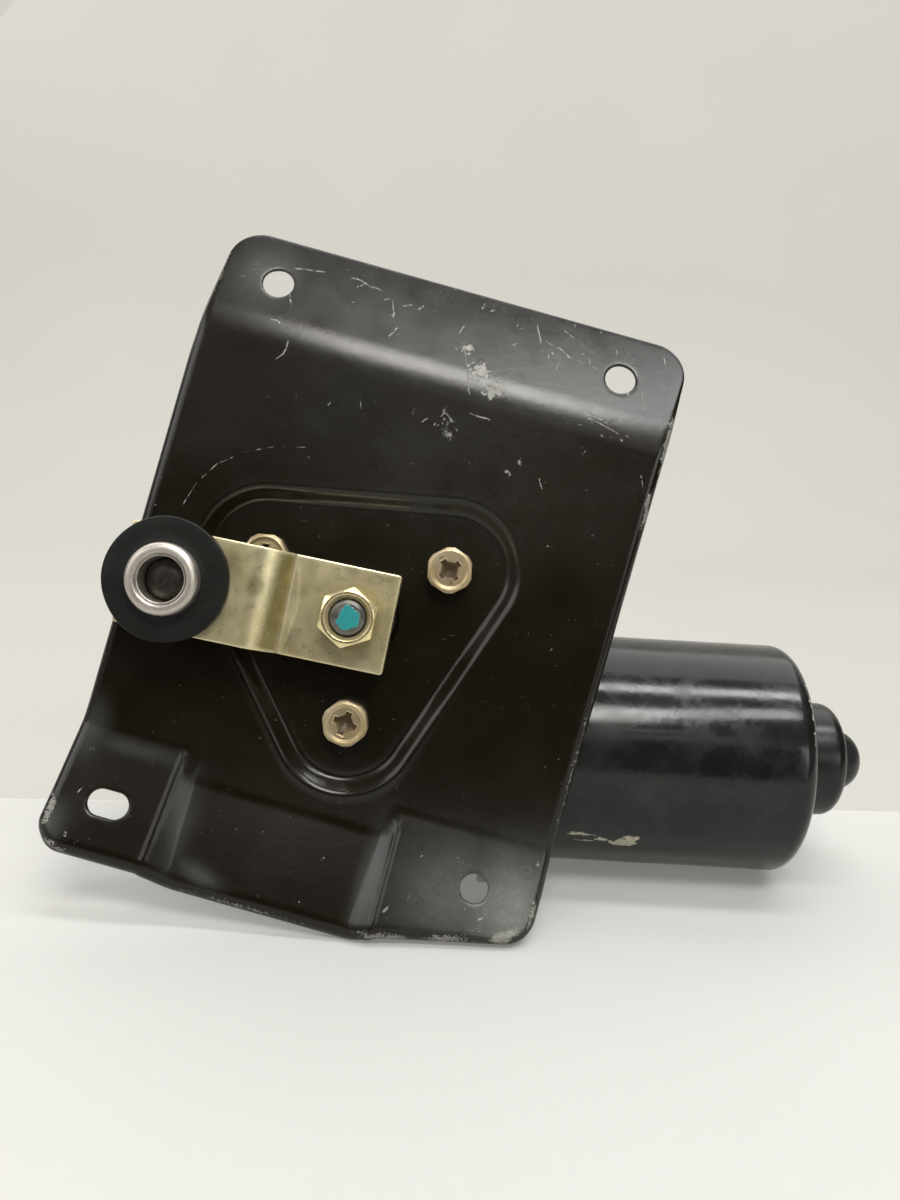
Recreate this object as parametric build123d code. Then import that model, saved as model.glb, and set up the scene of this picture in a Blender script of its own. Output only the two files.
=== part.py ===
from build123d import *
import os
import math

# ---------------------------------------------------------------------------
# Wiper motor with crank arm and pressed-steel mounting bracket, millimetres.
#
# Working axes (before the last placement): the output shaft runs along Y with
# the crank on the -Y side, the armature runs along X, Z is up.  The working
# origin is the output shaft axis at the front face of the bracket's main panel.
# The whole assembly is then leaned back about X, so that it stands on the
# lower edge of the bracket and on the motor can, and moved so that the origin
# is the bottom centre of its box.
# ---------------------------------------------------------------------------
LEAN = 12.78             # lean-back angle of the standing assembly, degrees
MOVE = (-35.326, -20.814, 74.064)   # last move of the working origin

# bracket sheet
SHEET = 1.6              # sheet thickness
BRACKET_TURN = 12.5      # bracket turned clockwise against the armature axis
FLANGE_TILT = 17.0       # tilt of the top flange and of the lower pads
V_TOP_FOLD = 62.0        # height of the fold of the top flange
V_PAD_FOLD = -42.3       # height of the fold of the lower pads
V_CHANNEL_FOLD = -49.3   # height of the fold of the channel between the pads
LIP = 5.5                # depth of the turned-back rim
U_LEFT, U_RIGHT, V_HIGH = -57.2, 63.0, 86.5
RECESS_DEPTH = 2.6       # triangular recess for the gearbox
RECESS_R = 16.6          # outer corner radius of the recess

# fixing of the gearbox to the bracket
SCREW_R = 26.0           # radius of the three screws about the shaft
SCREW_ANGLES = (41.3, 161.3, 281.3)
SCREW_D = 6.0
SCREW_AF = 10.0

# bracket holes (u, v)
HOLE_TOP_D = 8.2
HOLES_TOP = ((-40.8, 74.4), (47.5, 74.4))
HOLE_LOW_D = 7.6
HOLE_LOW = (45.8, -54.9)
SLOT_LOW = (-43.9, -58.8)
SLOT_LOW_SIZE = (10.0, 7.4)

# gearing
CENTRES = 34.0           # wheel axis to worm axis
WORM_Y = 38.0            # depth of the worm axis behind the panel
WHEEL_TEETH = 48
WHEEL_PR = 29.0
WORM_PR = 5.0
PITCH = 2 * math.pi * WHEEL_PR / WHEEL_TEETH
WORM_PHASE = 180.0       # turns the thread into a tooth gap at rest
WHEEL_Y0, WHEEL_Y1 = 33.8, 42.2

# crank
CRANK_ANGLE = 171.3      # direction of the crank pin seen from the front
CRANK_R = 42.5           # throw
ARM_W = 24.0
ARM_T = 4.0
ARM_END = 10.0
ARM_TIP = 53.3
ARM_LOW = 3.6            # back of the arm at the shaft, in front of the panel
ARM_JOG = 4.3

# motor can
CAN_R = 31.5
CAN_T = 1.8
CAN_X0, CAN_X1 = 45.0, 117.0
BOSS_R, BOSS_X1 = 15.7, 130.6
DOME_R, DOME_X1 = 8.5, 141.8

WZ = -CENTRES


# ---------------------------------------------------------------- helpers --
def cyl_y(r, y0, y1, x=0.0, z=0.0):
    s = Cylinder(r, y1 - y0, align=(Align.CENTER, Align.CENTER, Align.MIN))
    return Pos(x, y0, z) * Rot(-90, 0, 0) * s


def cyl_x(r, x0, x1, y=WORM_Y, z=WZ):
    s = Cylinder(r, x1 - x0, align=(Align.CENTER, Align.CENTER, Align.MIN))
    return Pos(x0, y, z) * Rot(0, 90, 0) * s


def box(x0, x1, y0, y1, z0, z1):
    return Pos((x0 + x1) / 2, (y0 + y1) / 2, (z0 + z1) / 2) * Box(
        x1 - x0, y1 - y0, z1 - z0)


def spin_x(pts, y=WORM_Y, z=WZ):
    """Solid of revolution about the armature axis; pts are (x, radius)."""
    face = make_face(Polyline(*[(px, pr) for px, pr in pts], close=True))
    return Pos(0, y, z) * revolve(face, Axis.X)


def spin_y(pts, x=0.0, z=0.0):
    """Solid of revolution about the Y axis; pts are (radius, y)."""
    face = make_face(Polyline(*[(pr, py) for pr, py in pts], close=True))
    return Pos(x, 0, z) * revolve(face, Axis.Y)


def group(items):
    out = []
    for i in items:
        out += list(i.solids())
    return Compound(out)


def polar(r, a):
    return r * math.cos(math.radians(a)), r * math.sin(math.radians(a))


# local frames: (u, v, w) with w pointing out of the panel to the front
PANEL = Plane(origin=(0, 0, 0),
              x_dir=(math.cos(math.radians(BRACKET_TURN)), 0,
                     -math.sin(math.radians(BRACKET_TURN))),
              z_dir=(0, -1, 0)).location
CRANK = Plane(origin=(0, 0, 0),
              x_dir=(math.cos(math.radians(CRANK_ANGLE)), 0,
                     math.sin(math.radians(CRANK_ANGLE))),
              z_dir=(0, -1, 0)).location


def panel_xz(u, v):
    c, s = math.cos(math.radians(BRACKET_TURN)), math.sin(math.radians(BRACKET_TURN))
    return u * c + v * s, -u * s + v * c


nodes = {}

# ---------------------------------------------------------- mounting plate --
TT = math.tan(math.radians(FLANGE_TILT))


def side_profile(v_low_fold, off, r_top, r_low, depth=30.0):
    """Region behind the front surface moved back by off, as a (v, w) face."""
    k = 1 / math.cos(math.radians(FLANGE_TILT))
    half = (k - math.tan(math.radians(FLANGE_TILT)))  # fold shift per offset
    vt = V_TOP_FOLD - off * math.tan(math.radians(FLANGE_TILT / 2))
    vb = v_low_fold - off * math.tan(math.radians(FLANGE_TILT / 2))
    top, bot = 100.0, -90.0
    p = [(bot, -off + (vb - bot) * TT), (vb, -off), (vt, -off),
         (top, -off - (top - vt) * TT), (top, -depth - 20), (bot, -depth + 5)]
    line = FilletPolyline(*p[:4], radius=[max(0.5, r_low), max(0.5, r_top)])
    rest = Polyline(p[3], p[4], p[5], p[0])
    face = make_face([line, rest])
    solid = extrude(Plane.YZ * face, amount=90, both=True)
    return solid


def outline(inset):
    """Bracket outline in (u, v), moved in by inset on three sides."""
    i = inset
    top = V_HIGH + (6 if i > 0 else 0)
    p = [(U_LEFT - 0.9 + i, -58.0), (U_LEFT + i, -38.0), (U_LEFT + 0.6 + i, 52.0),
         (-54.6 + i, top), (U_RIGHT + 0.2 - i, top), (U_RIGHT - 0.1 - i, 52.0),
         (62.4 - i, -52.0), (61.9 - i, -64.0 + i), (27.0, -71.9 + i),
         (19.5, -74.5 + i), (-24.5, -74.5 + i), (-32.5, -72.6 + i),
         (-59.0 + i, -72.6 + i)]
    line = FilletPolyline(*p, radius=[40, 60, 80, (8.5 if i == 0 else 5),
                                      (8.5 if i == 0 else 5), 80, 30, 7.5 - i, 12,
                                      10, 8, 8, 8.5 - i], close=True)
    return make_face(line)


def prism(face, w0=-40.0, w1=30.0):
    return extrude(Pos(0, 0, w0) * face, amount=w1 - w0)


def sheet_body(off, inset, r_top, r_low):
    """Solid behind the sheet surface that is off behind the front face."""
    s = side_profile(V_PAD_FOLD, off, r_top, r_low)
    s = s & prism(outline(inset))
    # channel between the lower pads
    a = math.radians(FLANGE_TILT)
    # wedge section across the channel, running down the slope
    sec = make_face(Polyline((-25.4 - off * 0.8, -off), (-29.9 - off * 0.8 - 8, -off + 2.14 + 3.8),
                             (-29.9 - off * 0.8 - 8, 30), (24.8 + off * 0.8 + 8, 30),
                             (24.8 + off * 0.8 + 8, -off + 2.14 + 3.8), (20.3 + off * 0.8, -off),
                             close=True))
    run = Plane(origin=(0, V_CHANNEL_FOLD, 0), x_dir=(1, 0, 0),
                z_dir=(0, -math.cos(a), math.sin(a)))
    if run.y_dir.Z < 0:
        run = Plane(origin=(0, V_CHANNEL_FOLD, 0), x_dir=(-1, 0, 0),
                    z_dir=(0, -math.cos(a), math.sin(a)))
        sec = mirror(sec, Plane.YZ)
    cut = extrude(run * sec, amount=60) + extrude(run * sec, amount=-14)
    cut = cut & (Pos(0, -90, 0) * Box(160, 200, 60, align=(Align.CENTER, Align.MIN, Align.CENTER)))
    cut = cut - Pos(0, 0, -off) * Box(200, 300, 60, align=(Align.CENTER, Align.CENTER, Align.MAX))
    s = s - cut
    return s


def recess_tool(off):
    """Pressed recess: drafted triangular pocket with rounded corners."""
    deep = RECESS_DEPTH + off + 4.0
    circles = [Pos(*polar(SCREW_R, a)) * Circle(RECESS_R + 3.0 - 0.9 + off * 0.5)
               for a in SCREW_ANGLES]
    top = make_hull([e for c in circles for e in c.edges()])
    return extrude(Pos(0, 0, 4.0) * top, amount=-deep, taper=38)


outer = sheet_body(0.0, 0.0, 16.0, 6.0)
inner = sheet_body(SHEET, SHEET, 16.0 - SHEET, 6.0 + SHEET)
# depth of the rim: keep only what is within LIP behind the surface
keep = side_profile(V_PAD_FOLD, LIP, 12.0, 6.0)
sheet = outer - inner
plate = sheet - keep
# the rim runs out towards the top edge
fw = lambda v: -(v - V_TOP_FOLD) * TT
run_out = make_face(Polyline((52, -LIP - 0.4), (V_HIGH + 4, fw(V_HIGH + 4) - SHEET - 0.2),
                             (V_HIGH + 4, -60), (52, -60), close=True))
plate = plate - extrude(Plane.YZ * run_out, amount=90, both=True)
low_half = Pos(0, 0, -10) * Box(200, 260, 20 - 0.0)
tool_back = recess_tool(SHEET)
tool_back = tool_back & (Pos(0, 0, -20) * Box(200, 260, 40 - 2 * 0.4))
plate = plate + tool_back
plate = plate - recess_tool(0.0)
# centre hole, three screw holes
plate = plate - Cylinder(11.5, 30)
for a in SCREW_ANGLES:
    plate = plate - Pos(*polar(SCREW_R, a), 0) * Cylinder(3.3, 30)
# mounting holes, square to the tilted sheet
hole_axis = Rot(FLANGE_TILT, 0, 0)
for (u, v) in HOLES_TOP:
    w = -(v - V_TOP_FOLD) * TT
    plate = plate - Pos(u, v, w) * Rot(-FLANGE_TILT, 0, 0) * Cylinder(HOLE_TOP_D / 2, 16)
u, v = HOLE_LOW
plate = plate - Pos(u, v, (V_PAD_FOLD - v) * TT) * Rot(-FLANGE_TILT, 0, 0) * Cylinder(HOLE_LOW_D / 2, 14)
u, v = SLOT_LOW
slot = extrude(SlotOverall(SLOT_LOW_SIZE[0], SLOT_LOW_SIZE[1]), amount=8, both=True)
plate = plate - Pos(u, v, (V_PAD_FOLD - v) * TT) * Rot(-FLANGE_TILT, 0, 0) * slot
print("plate solids", len(plate.solids()), plate.volume, plate.is_valid)
nodes["mounting_plate"] = PANEL * plate

# ----------------------------------------------------- gearbox fixing screws --
def hex_head(af, h, r_top):
    body = extrude(RegularPolygon(af / 2, 6, major_radius=False), amount=h)
    cone = Pos(0, 0, h - 20) * Cone(r_top + 20 * 1.73, r_top, 20)
    cone = Pos(0, 0, h) * Cone(r_top + 20 * 1.732, r_top, 20,
                               align=(Align.CENTER, Align.CENTER, Align.MAX))
    return body & cone


def phillips(r, width, depth):
    arm = Box(2 * r, width, depth, align=(Align.CENTER, Align.CENTER, Align.MAX))
    tip = Cone(0.4, r * 0.62, depth, align=(Align.CENTER, Align.CENTER, Align.MAX))
    return (arm + Rot(0, 0, 90) * arm) & Cone(
        r * 0.45, r, depth, align=(Align.CENTER, Align.CENTER, Align.MAX)) + tip


screws = []
for a, turn, cross in zip(SCREW_ANGLES, (12, 41, 22), (24, 10, -8)):
    s = Rot(0, 0, turn) * hex_head(SCREW_AF, 4.5, 4.6)
    s = s + Pos(0, 0, -19) * Cylinder(SCREW_D / 2, 19, align=(Align.CENTER, Align.CENTER, Align.MIN))
    s = s - Pos(0, 0, 4.5) * Cylinder(4.1, 0.8)
    s = s - Pos(0, 0, 4.1) * Rot(0, 0, cross) * phillips(2.9, 1.2, 2.4)
    x, y = polar(SCREW_R, a)
    screws.append(Pos(x, y, -RECESS_DEPTH) * s)
nodes["gearbox_screws"] = PANEL * group(screws)

# --------------------------------------------------------------- gear housing --
TUBE_R, TUBE_BORE = 10.0, 8.0
CH_R, CH_BORE = 36.0, 32.5
CH_Y0, CH_Y1 = 28.0, 50.0
BACK = RECESS_DEPTH + SHEET
TUN_R, TUN_BORE = 12.0, 7.6
COVER_SCREW_R = 38.6
COVER_ANGLES = (30, 90, 150, 208, 332)
CAN_SCREWS = ((64.2, -7.8), (11.8, -60.2))     # (y, z) of the two can screws

h = cyl_y(TUBE_R, 0.6, CH_Y0 + 2) + cyl_y(CH_R, CH_Y0, CH_Y1)
boss_at = []
for a in SCREW_ANGLES:
    u, v = polar(SCREW_R, a)
    x, z = panel_xz(u, v)
    boss_at.append((x, z))
    h = h + cyl_y(6.5, BACK, CH_Y0 + 2, x, z)
    ang = math.degrees(math.atan2(z, x))
    rib = box(6, SCREW_R, 9.0, CH_Y0 + 1, -2.0, 2.0)
    h = h + Rot(0, -ang, 0) * rib
h = h + cyl_x(TUN_R, -39.0, 44.0)
h = h + cyl_x(14.5, 28.0, 44.0) + cyl_x(31.5, 40.0, 45.0) + cyl_x(29.5, 44.0, 48.0)
for y, z in CAN_SCREWS:
    h = h + cyl_x(6.2, 34.0, 45.0, y, z)
    my, mz = (y + WORM_Y) / 2, (z + WZ) / 2
    web = Box(5.0, 34.0, 8.0)
    ang = math.degrees(math.atan2(z - WZ, y - WORM_Y))
    h = h + Pos(42.5, WORM_Y + 17 * math.cos(math.radians(ang)),
                WZ + 17 * math.sin(math.radians(ang))) * Rot(ang, 0, 0) * web
for a in COVER_ANGLES:
    x, z = polar(COVER_SCREW_R, a)
    h = h + cyl_y(4.6, 37.0, CH_Y1, x, z)
    rib = box(34.0, COVER_SCREW_R, 37.0, CH_Y1, -4.6, 4.6)
    h = h + Rot(0, -a, 0) * rib
# gussets from the chamber to the motor flange
h = h + box(24.0, 42.0, 35.0, 41.0, -24.0, -6.0) - cyl_y(1.0, -50, -49)
# hollows
h = h - cyl_y(TUBE_BORE, -2, 40) - cyl_y(CH_BORE, CH_Y0 + 3.5, CH_Y1 + 5)
h = h - cyl_x(TUN_BORE, -28.0, 50.0) - cyl_x(6.0, -36.0, -27.0) - cyl_x(4.0, -45.0, -35.0)
h = h - cyl_x(11.0, 33.0, 60.0)
h = h - cyl_x(24.0, 45.0, 60.0)
for (x, z) in boss_at:
    h = h - cyl_y(SCREW_D / 2 + 0.02, -5.0, 22.5, x, z)
for y, z in CAN_SCREWS:
    h = h - cyl_x(2.5, 30.0, 60.0, y, z)
for a in COVER_ANGLES:
    x, z = polar(COVER_SCREW_R, a)
    h = h - cyl_y(2.0, 39.0, 60.0, x, z)
nodes["gear_housing"] = h

# bushes, seal, thrust screw
nodes["output_bush_front"] = spin_y([(6.02, 1.2), (8.0, 1.2), (8.0, 12.0), (6.02, 12.0)])
nodes["output_bush_rear"] = spin_y([(6.02, 19.0), (8.0, 19.0), (8.0, 31.0), (6.02, 31.0)])
nodes["shaft_seal"] = spin_y([(6.05, -0.9), (9.6, -0.9), (9.8, -0.6), (9.8, 0.6), (8.0, 0.6),
                              (8.0, 1.2), (6.05, 1.2)])
nodes["tip_bush"] = spin_x([(-35.6, 4.03), (-35.6, 6.0), (-28.0, 6.0), (-28.0, 4.03)])
ts = cyl_x(4.0, -49.0, -36.2)
ts = ts - box(-50, -47.6, WORM_Y - 0.7, WORM_Y + 0.7, WZ - 6, WZ + 6)
nodes["thrust_screw"] = ts
ln = Pos(-44.5, WORM_Y, WZ) * Rot(0, 90, 0) * extrude(
    RegularPolygon(6.5, 6, major_radius=False), amount=5.4)
nodes["thrust_locknut"] = ln - cyl_x(4.0, -50, -36)

# rear cover, gasket, screws, inlet grommet
def ears(y0, y1, r):
    out = None
    for a in COVER_ANGLES:
        x, z = polar(COVER_SCREW_R, a)
        e = cyl_y(4.6, y0, y1, x, z) + Rot(0, -a, 0) * box(30.0, COVER_SCREW_R, y0, y1, -4.6, 4.6)
        out = e if out is None else out + e
    return out


gasket = cyl_y(CH_R, 50.0, 50.8) + ears(50.0, 50.8, 0)
gasket = gasket - cyl_y(CH_BORE, 49, 52)
cover = spin_y([(0, 50.8), (36.0, 50.8), (36.0, 52.0), (31.3, 52.0), (30.3, 52.6), (29.0, 61.0),
                (27.6, 62.4), (0, 62.4)]) + ears(50.8, 52.0, 0)
hollow = spin_y([(0, 50.0), (30.2, 50.0), (29.2, 52.4), (27.9, 60.6), (27.2, 61.2), (0, 61.2)])
cover = cover - hollow
for a in COVER_ANGLES:
    x, z = polar(COVER_SCREW_R, a)
    gasket = gasket - cyl_y(2.1, 45, 60, x, z)
    cover = cover - cyl_y(2.1, 45, 60, x, z)
cover = cover - Pos(-6.0, 56.6, 20.0) * Cylinder(3.6, 20, align=(Align.CENTER, Align.CENTER, Align.MIN))
nodes["cover_gasket"] = gasket
nodes["gear_cover"] = cover
g = Pos(-6.0, 56.6, 25.2) * Cylinder(3.6, 7.0, align=(Align.CENTER, Align.CENTER, Align.MIN))
g = g + Pos(-6.0, 56.6, 30.2) * Cylinder(4.9, 4.2, align=(Align.CENTER, Align.CENTER, Align.MIN))
g = g - Pos(-6.0, 56.6, 22.0) * Cylinder(2.1, 20, align=(Align.CENTER, Align.CENTER, Align.MIN))
g = g - hollow.moved(Location((0, 0, 0)))
g = g - (spin_y([(0, 50.0), (29.3, 50.0), (30.35, 52.6), (29.05, 61.0), (27.6, 62.5), (0, 62.5)])
         - Pos(-6.0, 56.6, 20.0) * Cylinder(3.6, 20, align=(Align.CENTER, Align.CENTER, Align.MIN)))
g = g - cover
g = group([max(g.solids(), key=lambda q: q.volume)])
nodes["inlet_grommet"] = g
cs = []
for a in COVER_ANGLES:
    x, z = polar(COVER_SCREW_R, a)
    c = cyl_y(2.0, 40.0, 52.0, x, z)
    head = Pos(x, 52.0, z) * Rot(-90, 0, 0) * (Cylinder(
        3.9, 2.6, align=(Align.CENTER, Align.CENTER, Align.MIN)) - Pos(0, 0, 2.6) * Rot(
        0, 0, a * 1.7) * phillips(2.2, 0.9, 1.6))
    cs.append(c + head)
nodes["cover_screws"] = group(cs)

# park switch
carrier = cyl_y(24.0, 46.6, 48.6) - cyl_y(7.0, 40, 60)
posts = []
for a in (90, 210, 330):
    x, z = polar(19.0, a)
    carrier = carrier + cyl_y(3.0, 48.6, 61.2, x, z)
nodes["park_contact_carrier"] = carrier
pc = []
for a, r in ((20, 12.5), (40, 16.5), (60, 20.5)):
    x, z = polar(r, a)
    arm = Rot(0, -a, 0) * (box(r - 1.4, r + 1.4, 46.0, 46.6, -7.0, 1.4)
                           + box(r - 1.4, r + 1.4, 43.35, 46.4, 0.6, 1.4))
    pc.append(arm)
nodes["park_contacts"] = group(pc)

# ------------------------------------------------------------------ motor can --
wall = [(CAN_X0, CAN_R - CAN_T), (CAN_X0, CAN_R + 3.0), (CAN_X0 + 1.8, CAN_R + 3.0),
        (CAN_X0 + 1.8, CAN_R), (CAN_X1 - 2.6, CAN_R), (CAN_X1 - 0.8, CAN_R - 0.9),
        (CAN_X1, CAN_R - 2.9), (CAN_X1, BOSS_R), (BOSS_X1 - 2.2, BOSS_R),
        (BOSS_X1 - 0.6, BOSS_R - 0.7), (BOSS_X1, BOSS_R - 2.4), (BOSS_X1, DOME_R),
        (DOME_X1 - 3.4, DOME_R), (DOME_X1 - 1.1, DOME_R - 1.5), (DOME_X1, DOME_R - 4.2),
        (DOME_X1, 0), (DOME_X1 - 1.8, 0), (DOME_X1 - 1.8, DOME_R - 3.6),
        (DOME_X1 - 3.6, DOME_R - 1.8), (BOSS_X1 - 1.8, DOME_R - 1.8),
        (BOSS_X1 - 1.8, BOSS_R - 1.8), (CAN_X1 - 1.8, BOSS_R - 1.8),
        (CAN_X1 - 1.8, CAN_R - CAN_T)]
can = spin_x(wall)
flange = cyl_x(CAN_R + 3.0, CAN_X0, CAN_X0 + 1.8) - cyl_x(CAN_R + 6.0, CAN_X0, CAN_X0 + 1.8)
for y, z in CAN_SCREWS:
    ear = cyl_x(6.2, CAN_X0, CAN_X0 + 1.8, y, z)
    can = can + (ear - cyl_x(CAN_R - 0.5, CAN_X0 - 1, CAN_X0 + 4))
    can = can - cyl_x(2.6, CAN_X0 - 2, CAN_X0 + 6, y, z)
# the rim is trimmed flush except at the ears
trim = cyl_x(CAN_R + 10, CAN_X0 - 1, CAN_X0 + 1.8) - cyl_x(CAN_R + 1.0, CAN_X0 - 2, CAN_X0 + 3)
for y, z in CAN_SCREWS:
    trim = trim - cyl_x(6.2, CAN_X0 - 2, CAN_X0 + 3, y, z)
can = can - trim
nodes["motor_can"] = can
cs = []
for y, z in CAN_SCREWS:
    c = cyl_x(2.5, 32.0, CAN_X0 + 1.8, y, z)
    hd = Pos(CAN_X0 + 1.8, y, z) * Rot(0, 90, 0) * hex_head(8.0, 3.6, 3.6)
    cs.append(c + hd)
nodes["can_screws"] = group(cs)

# magnets and their clips
def arc_block(r0, r1, x0, x1, mid, half):
    ring = cyl_x(r1, x0, x1) - cyl_x(r0, x0 - 1, x1 + 1)
    wedge = None
    p = [(0, 0)]
    for k in range(0, 5):
        a = math.radians(mid - half + 2 * half * k / 4)
        p.append((60 * math.cos(a), 60 * math.sin(a)))
    face = make_face(Polyline(*p, close=True))
    w = Pos(x0 - 2, WORM_Y, WZ) * (Plane.YZ * face)
    w = extrude(w, amount=x1 - x0 + 4, dir=(1, 0, 0))
    return ring & w


nodes["field_magnets"] = group([arc_block(24.6, CAN_R - CAN_T, 66.0, 110.0, 180, 62),
                                arc_block(24.6, CAN_R - CAN_T, 66.0, 110.0, 0, 62)])
nodes["magnet_clips"] = group([arc_block(27.2, CAN_R - CAN_T, 68.0, 108.0, 90, 27.5),
                               arc_block(27.2, CAN_R - CAN_T, 68.0, 108.0, 270, 27.5)])

# brush gear
BR = (90, 210, 330)
bp = cyl_x(29.5, 48.0, 50.0) - cyl_x(11.5, 47, 51)
for y, z in ((WORM_Y + 20, WZ), (WORM_Y - 20, WZ)):
    bp = bp - cyl_x(2.0, 47, 51, y, z)
nodes["brush_plate"] = bp
holders, brushes, springs = [], [], []
for a in BR:
    def turn(s):
        return Pos(0, WORM_Y, WZ) * Rot(a, 0, 0) * s
    hb = box(50.0, 59.6, 12.5, 25.0, -4.2, 4.2) - box(50.8, 58.8, 10.0, 30.0, -3.4, 3.4)
    holders.append(turn(hb))
    bb = box(51.0, 58.6, 9.0, 20.0, -3.2, 3.2) - cyl_x(9.75, 40, 70, 0, 0)
    brushes.append(turn(bb))
    sp = None
    for k in range(4):
        ring = Pos(54.8, 20.6 + 1.1 * k, 0) * Rot(-90, 0, 0) * Torus(2.2, 0.4)
        sp = ring if sp is None else sp + ring
    for k in range(3):
        sp = sp + Pos(54.8, 21.15 + 1.1 * k, 2.2 if k % 2 == 0 else -2.2) * Rot(-90, 0, 0) * Cylinder(0.35, 1.1)
    cap = box(50.8, 58.8, 24.4, 25.0, -3.4, 3.4)
    springs.append(turn(sp))
    holders.append(turn(cap))
nodes["brush_holders"] = group([Part() + holders[2 * i] + holders[2 * i + 1] for i in range(3)])
nodes["carbon_brushes"] = group(brushes)
nodes["brush_springs"] = group(springs)

# front ball bearing
nodes["bearing_outer_ring"] = spin_x([(33.0, 9.3), (33.0, 11.0), (40.0, 11.0), (40.0, 9.3),
                                      (37.6, 9.3), (37.0, 9.7), (36.0, 9.7), (35.4, 9.3)])
nodes["bearing_balls"] = group([Pos(36.5, WORM_Y, WZ) * Rot(a, 0, 0) * Pos(0, 7.8, 0) * Sphere(1.55)
                                for a in range(0, 360, 45)])
# rear bush with its spring retainer
nodes["rear_bush"] = spin_x([(119.5, 4.03), (119.5, 6.4), (121.2, 7.6), (123.4, 8.0), (125.6, 7.6),
                             (127.3, 6.4), (127.3, 4.03)])
ret = spin_x([(118.4, 7.0), (118.4, 13.9), (119.2, 13.9), (119.2, 7.0)])
for k in range(6):
    ret = ret - Pos(0, WORM_Y, WZ) * Rot(60 * k, 0, 0) * box(117, 120, 6.0, 10.5, -0.8, 0.8)
nodes["bush_retainer"] = ret
nodes["thrust_ball"] = Pos(136.9, WORM_Y, WZ) * Sphere(3.05)

# ---------------------------------------------------------------- armature ----
shaft = cyl_x(4.0, -36.15, 133.8)
shaft = shaft - (cyl_x(7.0, -16.5, 16.5) - cyl_x(3.5, -17, 17))
tp = 6.05                                    # thread tip radius
rt = 3.0                                     # thread root radius, sunk in the core
helix = Helix(pitch=PITCH, height=PITCH * 8, radius=rt)
sec = make_face(Polyline((0.0, -1.2), (tp - rt, -0.42), (tp - rt, 0.42), (0.0, 1.2), close=True))
sec_plane = Plane(origin=helix @ 0, x_dir=(1, 0, 0), z_dir=helix % 0)
thread = sweep(sec_plane * sec, path=helix, is_frenet=True)
thread = Pos(0, 0, -PITCH * 4) * thread
# turned so that the helix axis is X and a gap of the wheel stands over a crest
thread = Rot(0, 90, 0) * thread
thread = Pos(0, WORM_Y, WZ) * Rot(WORM_PHASE, 0, 0) * thread
worm = shaft + thread
nodes["armature_shaft"] = worm
nodes["bearing_inner_ring"] = spin_x([(33.0, 4.0), (33.0, 6.3), (35.4, 6.3), (36.0, 5.9),
                                      (37.0, 5.9), (37.6, 6.3), (40.0, 6.3), (40.0, 4.0)])
lam = cyl_x(23.8, 70.0, 106.0) - cyl_x(4.0, 69, 107)
N_SLOT = 12
for k in range(N_SLOT):
    lam = lam - Pos(0, WORM_Y, WZ) * Rot(30 * k, 0, 0) * (
        box(69, 107, 11.5, 21.6, -2.3, 2.3) + box(69, 107, 20, 25, -0.9, 0.9))
nodes["lamination_stack"] = lam
wind = spin_x([(63.2, 6.2), (63.2, 12.0), (65.5, 18.5), (69.9, 21.3), (69.9, 9.5), (66.5, 6.2)])
wind = wind + spin_x([(106.1, 9.5), (106.1, 21.3), (110.2, 18.5), (112.4, 12.0), (112.4, 6.2), (109.5, 6.2)])
for k in range(N_SLOT):
    wind = wind + Pos(0, WORM_Y, WZ) * Rot(30 * k, 0, 0) * box(69.5, 106.5, 11.8, 20.8, -2.1, 2.1)
nodes["armature_windings"] = wind
nodes["commutator_hub"] = spin_x([(50.4, 4.0), (50.4, 6.6), (63.0, 6.6), (63.0, 4.0)])
seg = []
for k in range(N_SLOT):
    ring = cyl_x(9.6, 50.6, 62.4) - cyl_x(6.6, 50, 63)
    seg.append(ring & (Pos(0, WORM_Y, WZ) * Rot(30 * k, 0, 0) * extrude(
        Plane.YZ * make_face(Polyline((4.0, -0.72), (12, -2.86), (12, 2.86), (4.0, 0.72), close=True)),
        amount=80)))
nodes["commutator_bars"] = group(seg)

# ------------------------------------------------------------ output assembly --
def gear_face():
    pts = []
    step = 2 * math.pi / WHEEL_TEETH
    for k in range(WHEEL_TEETH):
        c = k * step + step / 2 - math.pi / 2
        for r, half in ((27.55, 1.28), (29.0, 0.82), (30.05, 0.48)):
            a = c - half / r
            pts.append((r * math.cos(a), r * math.sin(a)))
        for r, half in ((30.05, 0.48), (29.0, 0.82), (27.55, 1.28)):
            a = c + half / r
            pts.append((r * math.cos(a), r * math.sin(a)))
    return make_face(Polyline(*pts, close=True))


lead = math.degrees(PITCH / (2 * math.pi * WORM_PR) * (WHEEL_Y1 - WHEEL_Y0) / WHEEL_PR)
gf = gear_face()
gw = Solid.extrude_linear_with_rotation(gf.faces()[0], (0, 0, 0), (0, 0, WHEEL_Y1 - WHEEL_Y0), lead)
gw = Rot(0, 0, -lead / 2) * gw
# section plane (x, z) seen from the front: local z is -Y, so the wheel runs from Y1 forwards
gw = Plane(origin=(0, WHEEL_Y1, 0), x_dir=(1, 0, 0), z_dir=(0, -1, 0)).location * gw
gw = Part() + gw
gw = gw - cyl_y(10.0, 20, 60)
gw = gw - (cyl_y(25.0, 30, 35.8) - cyl_y(13.0, 29, 50))
nodes["worm_wheel"] = gw
nodes["wheel_hub"] = spin_y([(6.0, 33.9), (10.0, 33.9), (10.0, 42.2), (6.0, 42.2)])
nodes["wheel_thrust_washer"] = spin_y([(6.05, 31.7), (9.8, 31.7), (9.8, 33.8), (6.05, 33.8)])
cam = cyl_y(23.0, 42.2, 43.2) - cyl_y(9.0, 40, 50)
cam = cam - Rot(0, -170, 0) * box(14.4, 18.6, 42, 44, -9, 9)
nodes["park_disc"] = cam
w_end = ARM_LOW + ARM_T + 7.1
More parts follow.
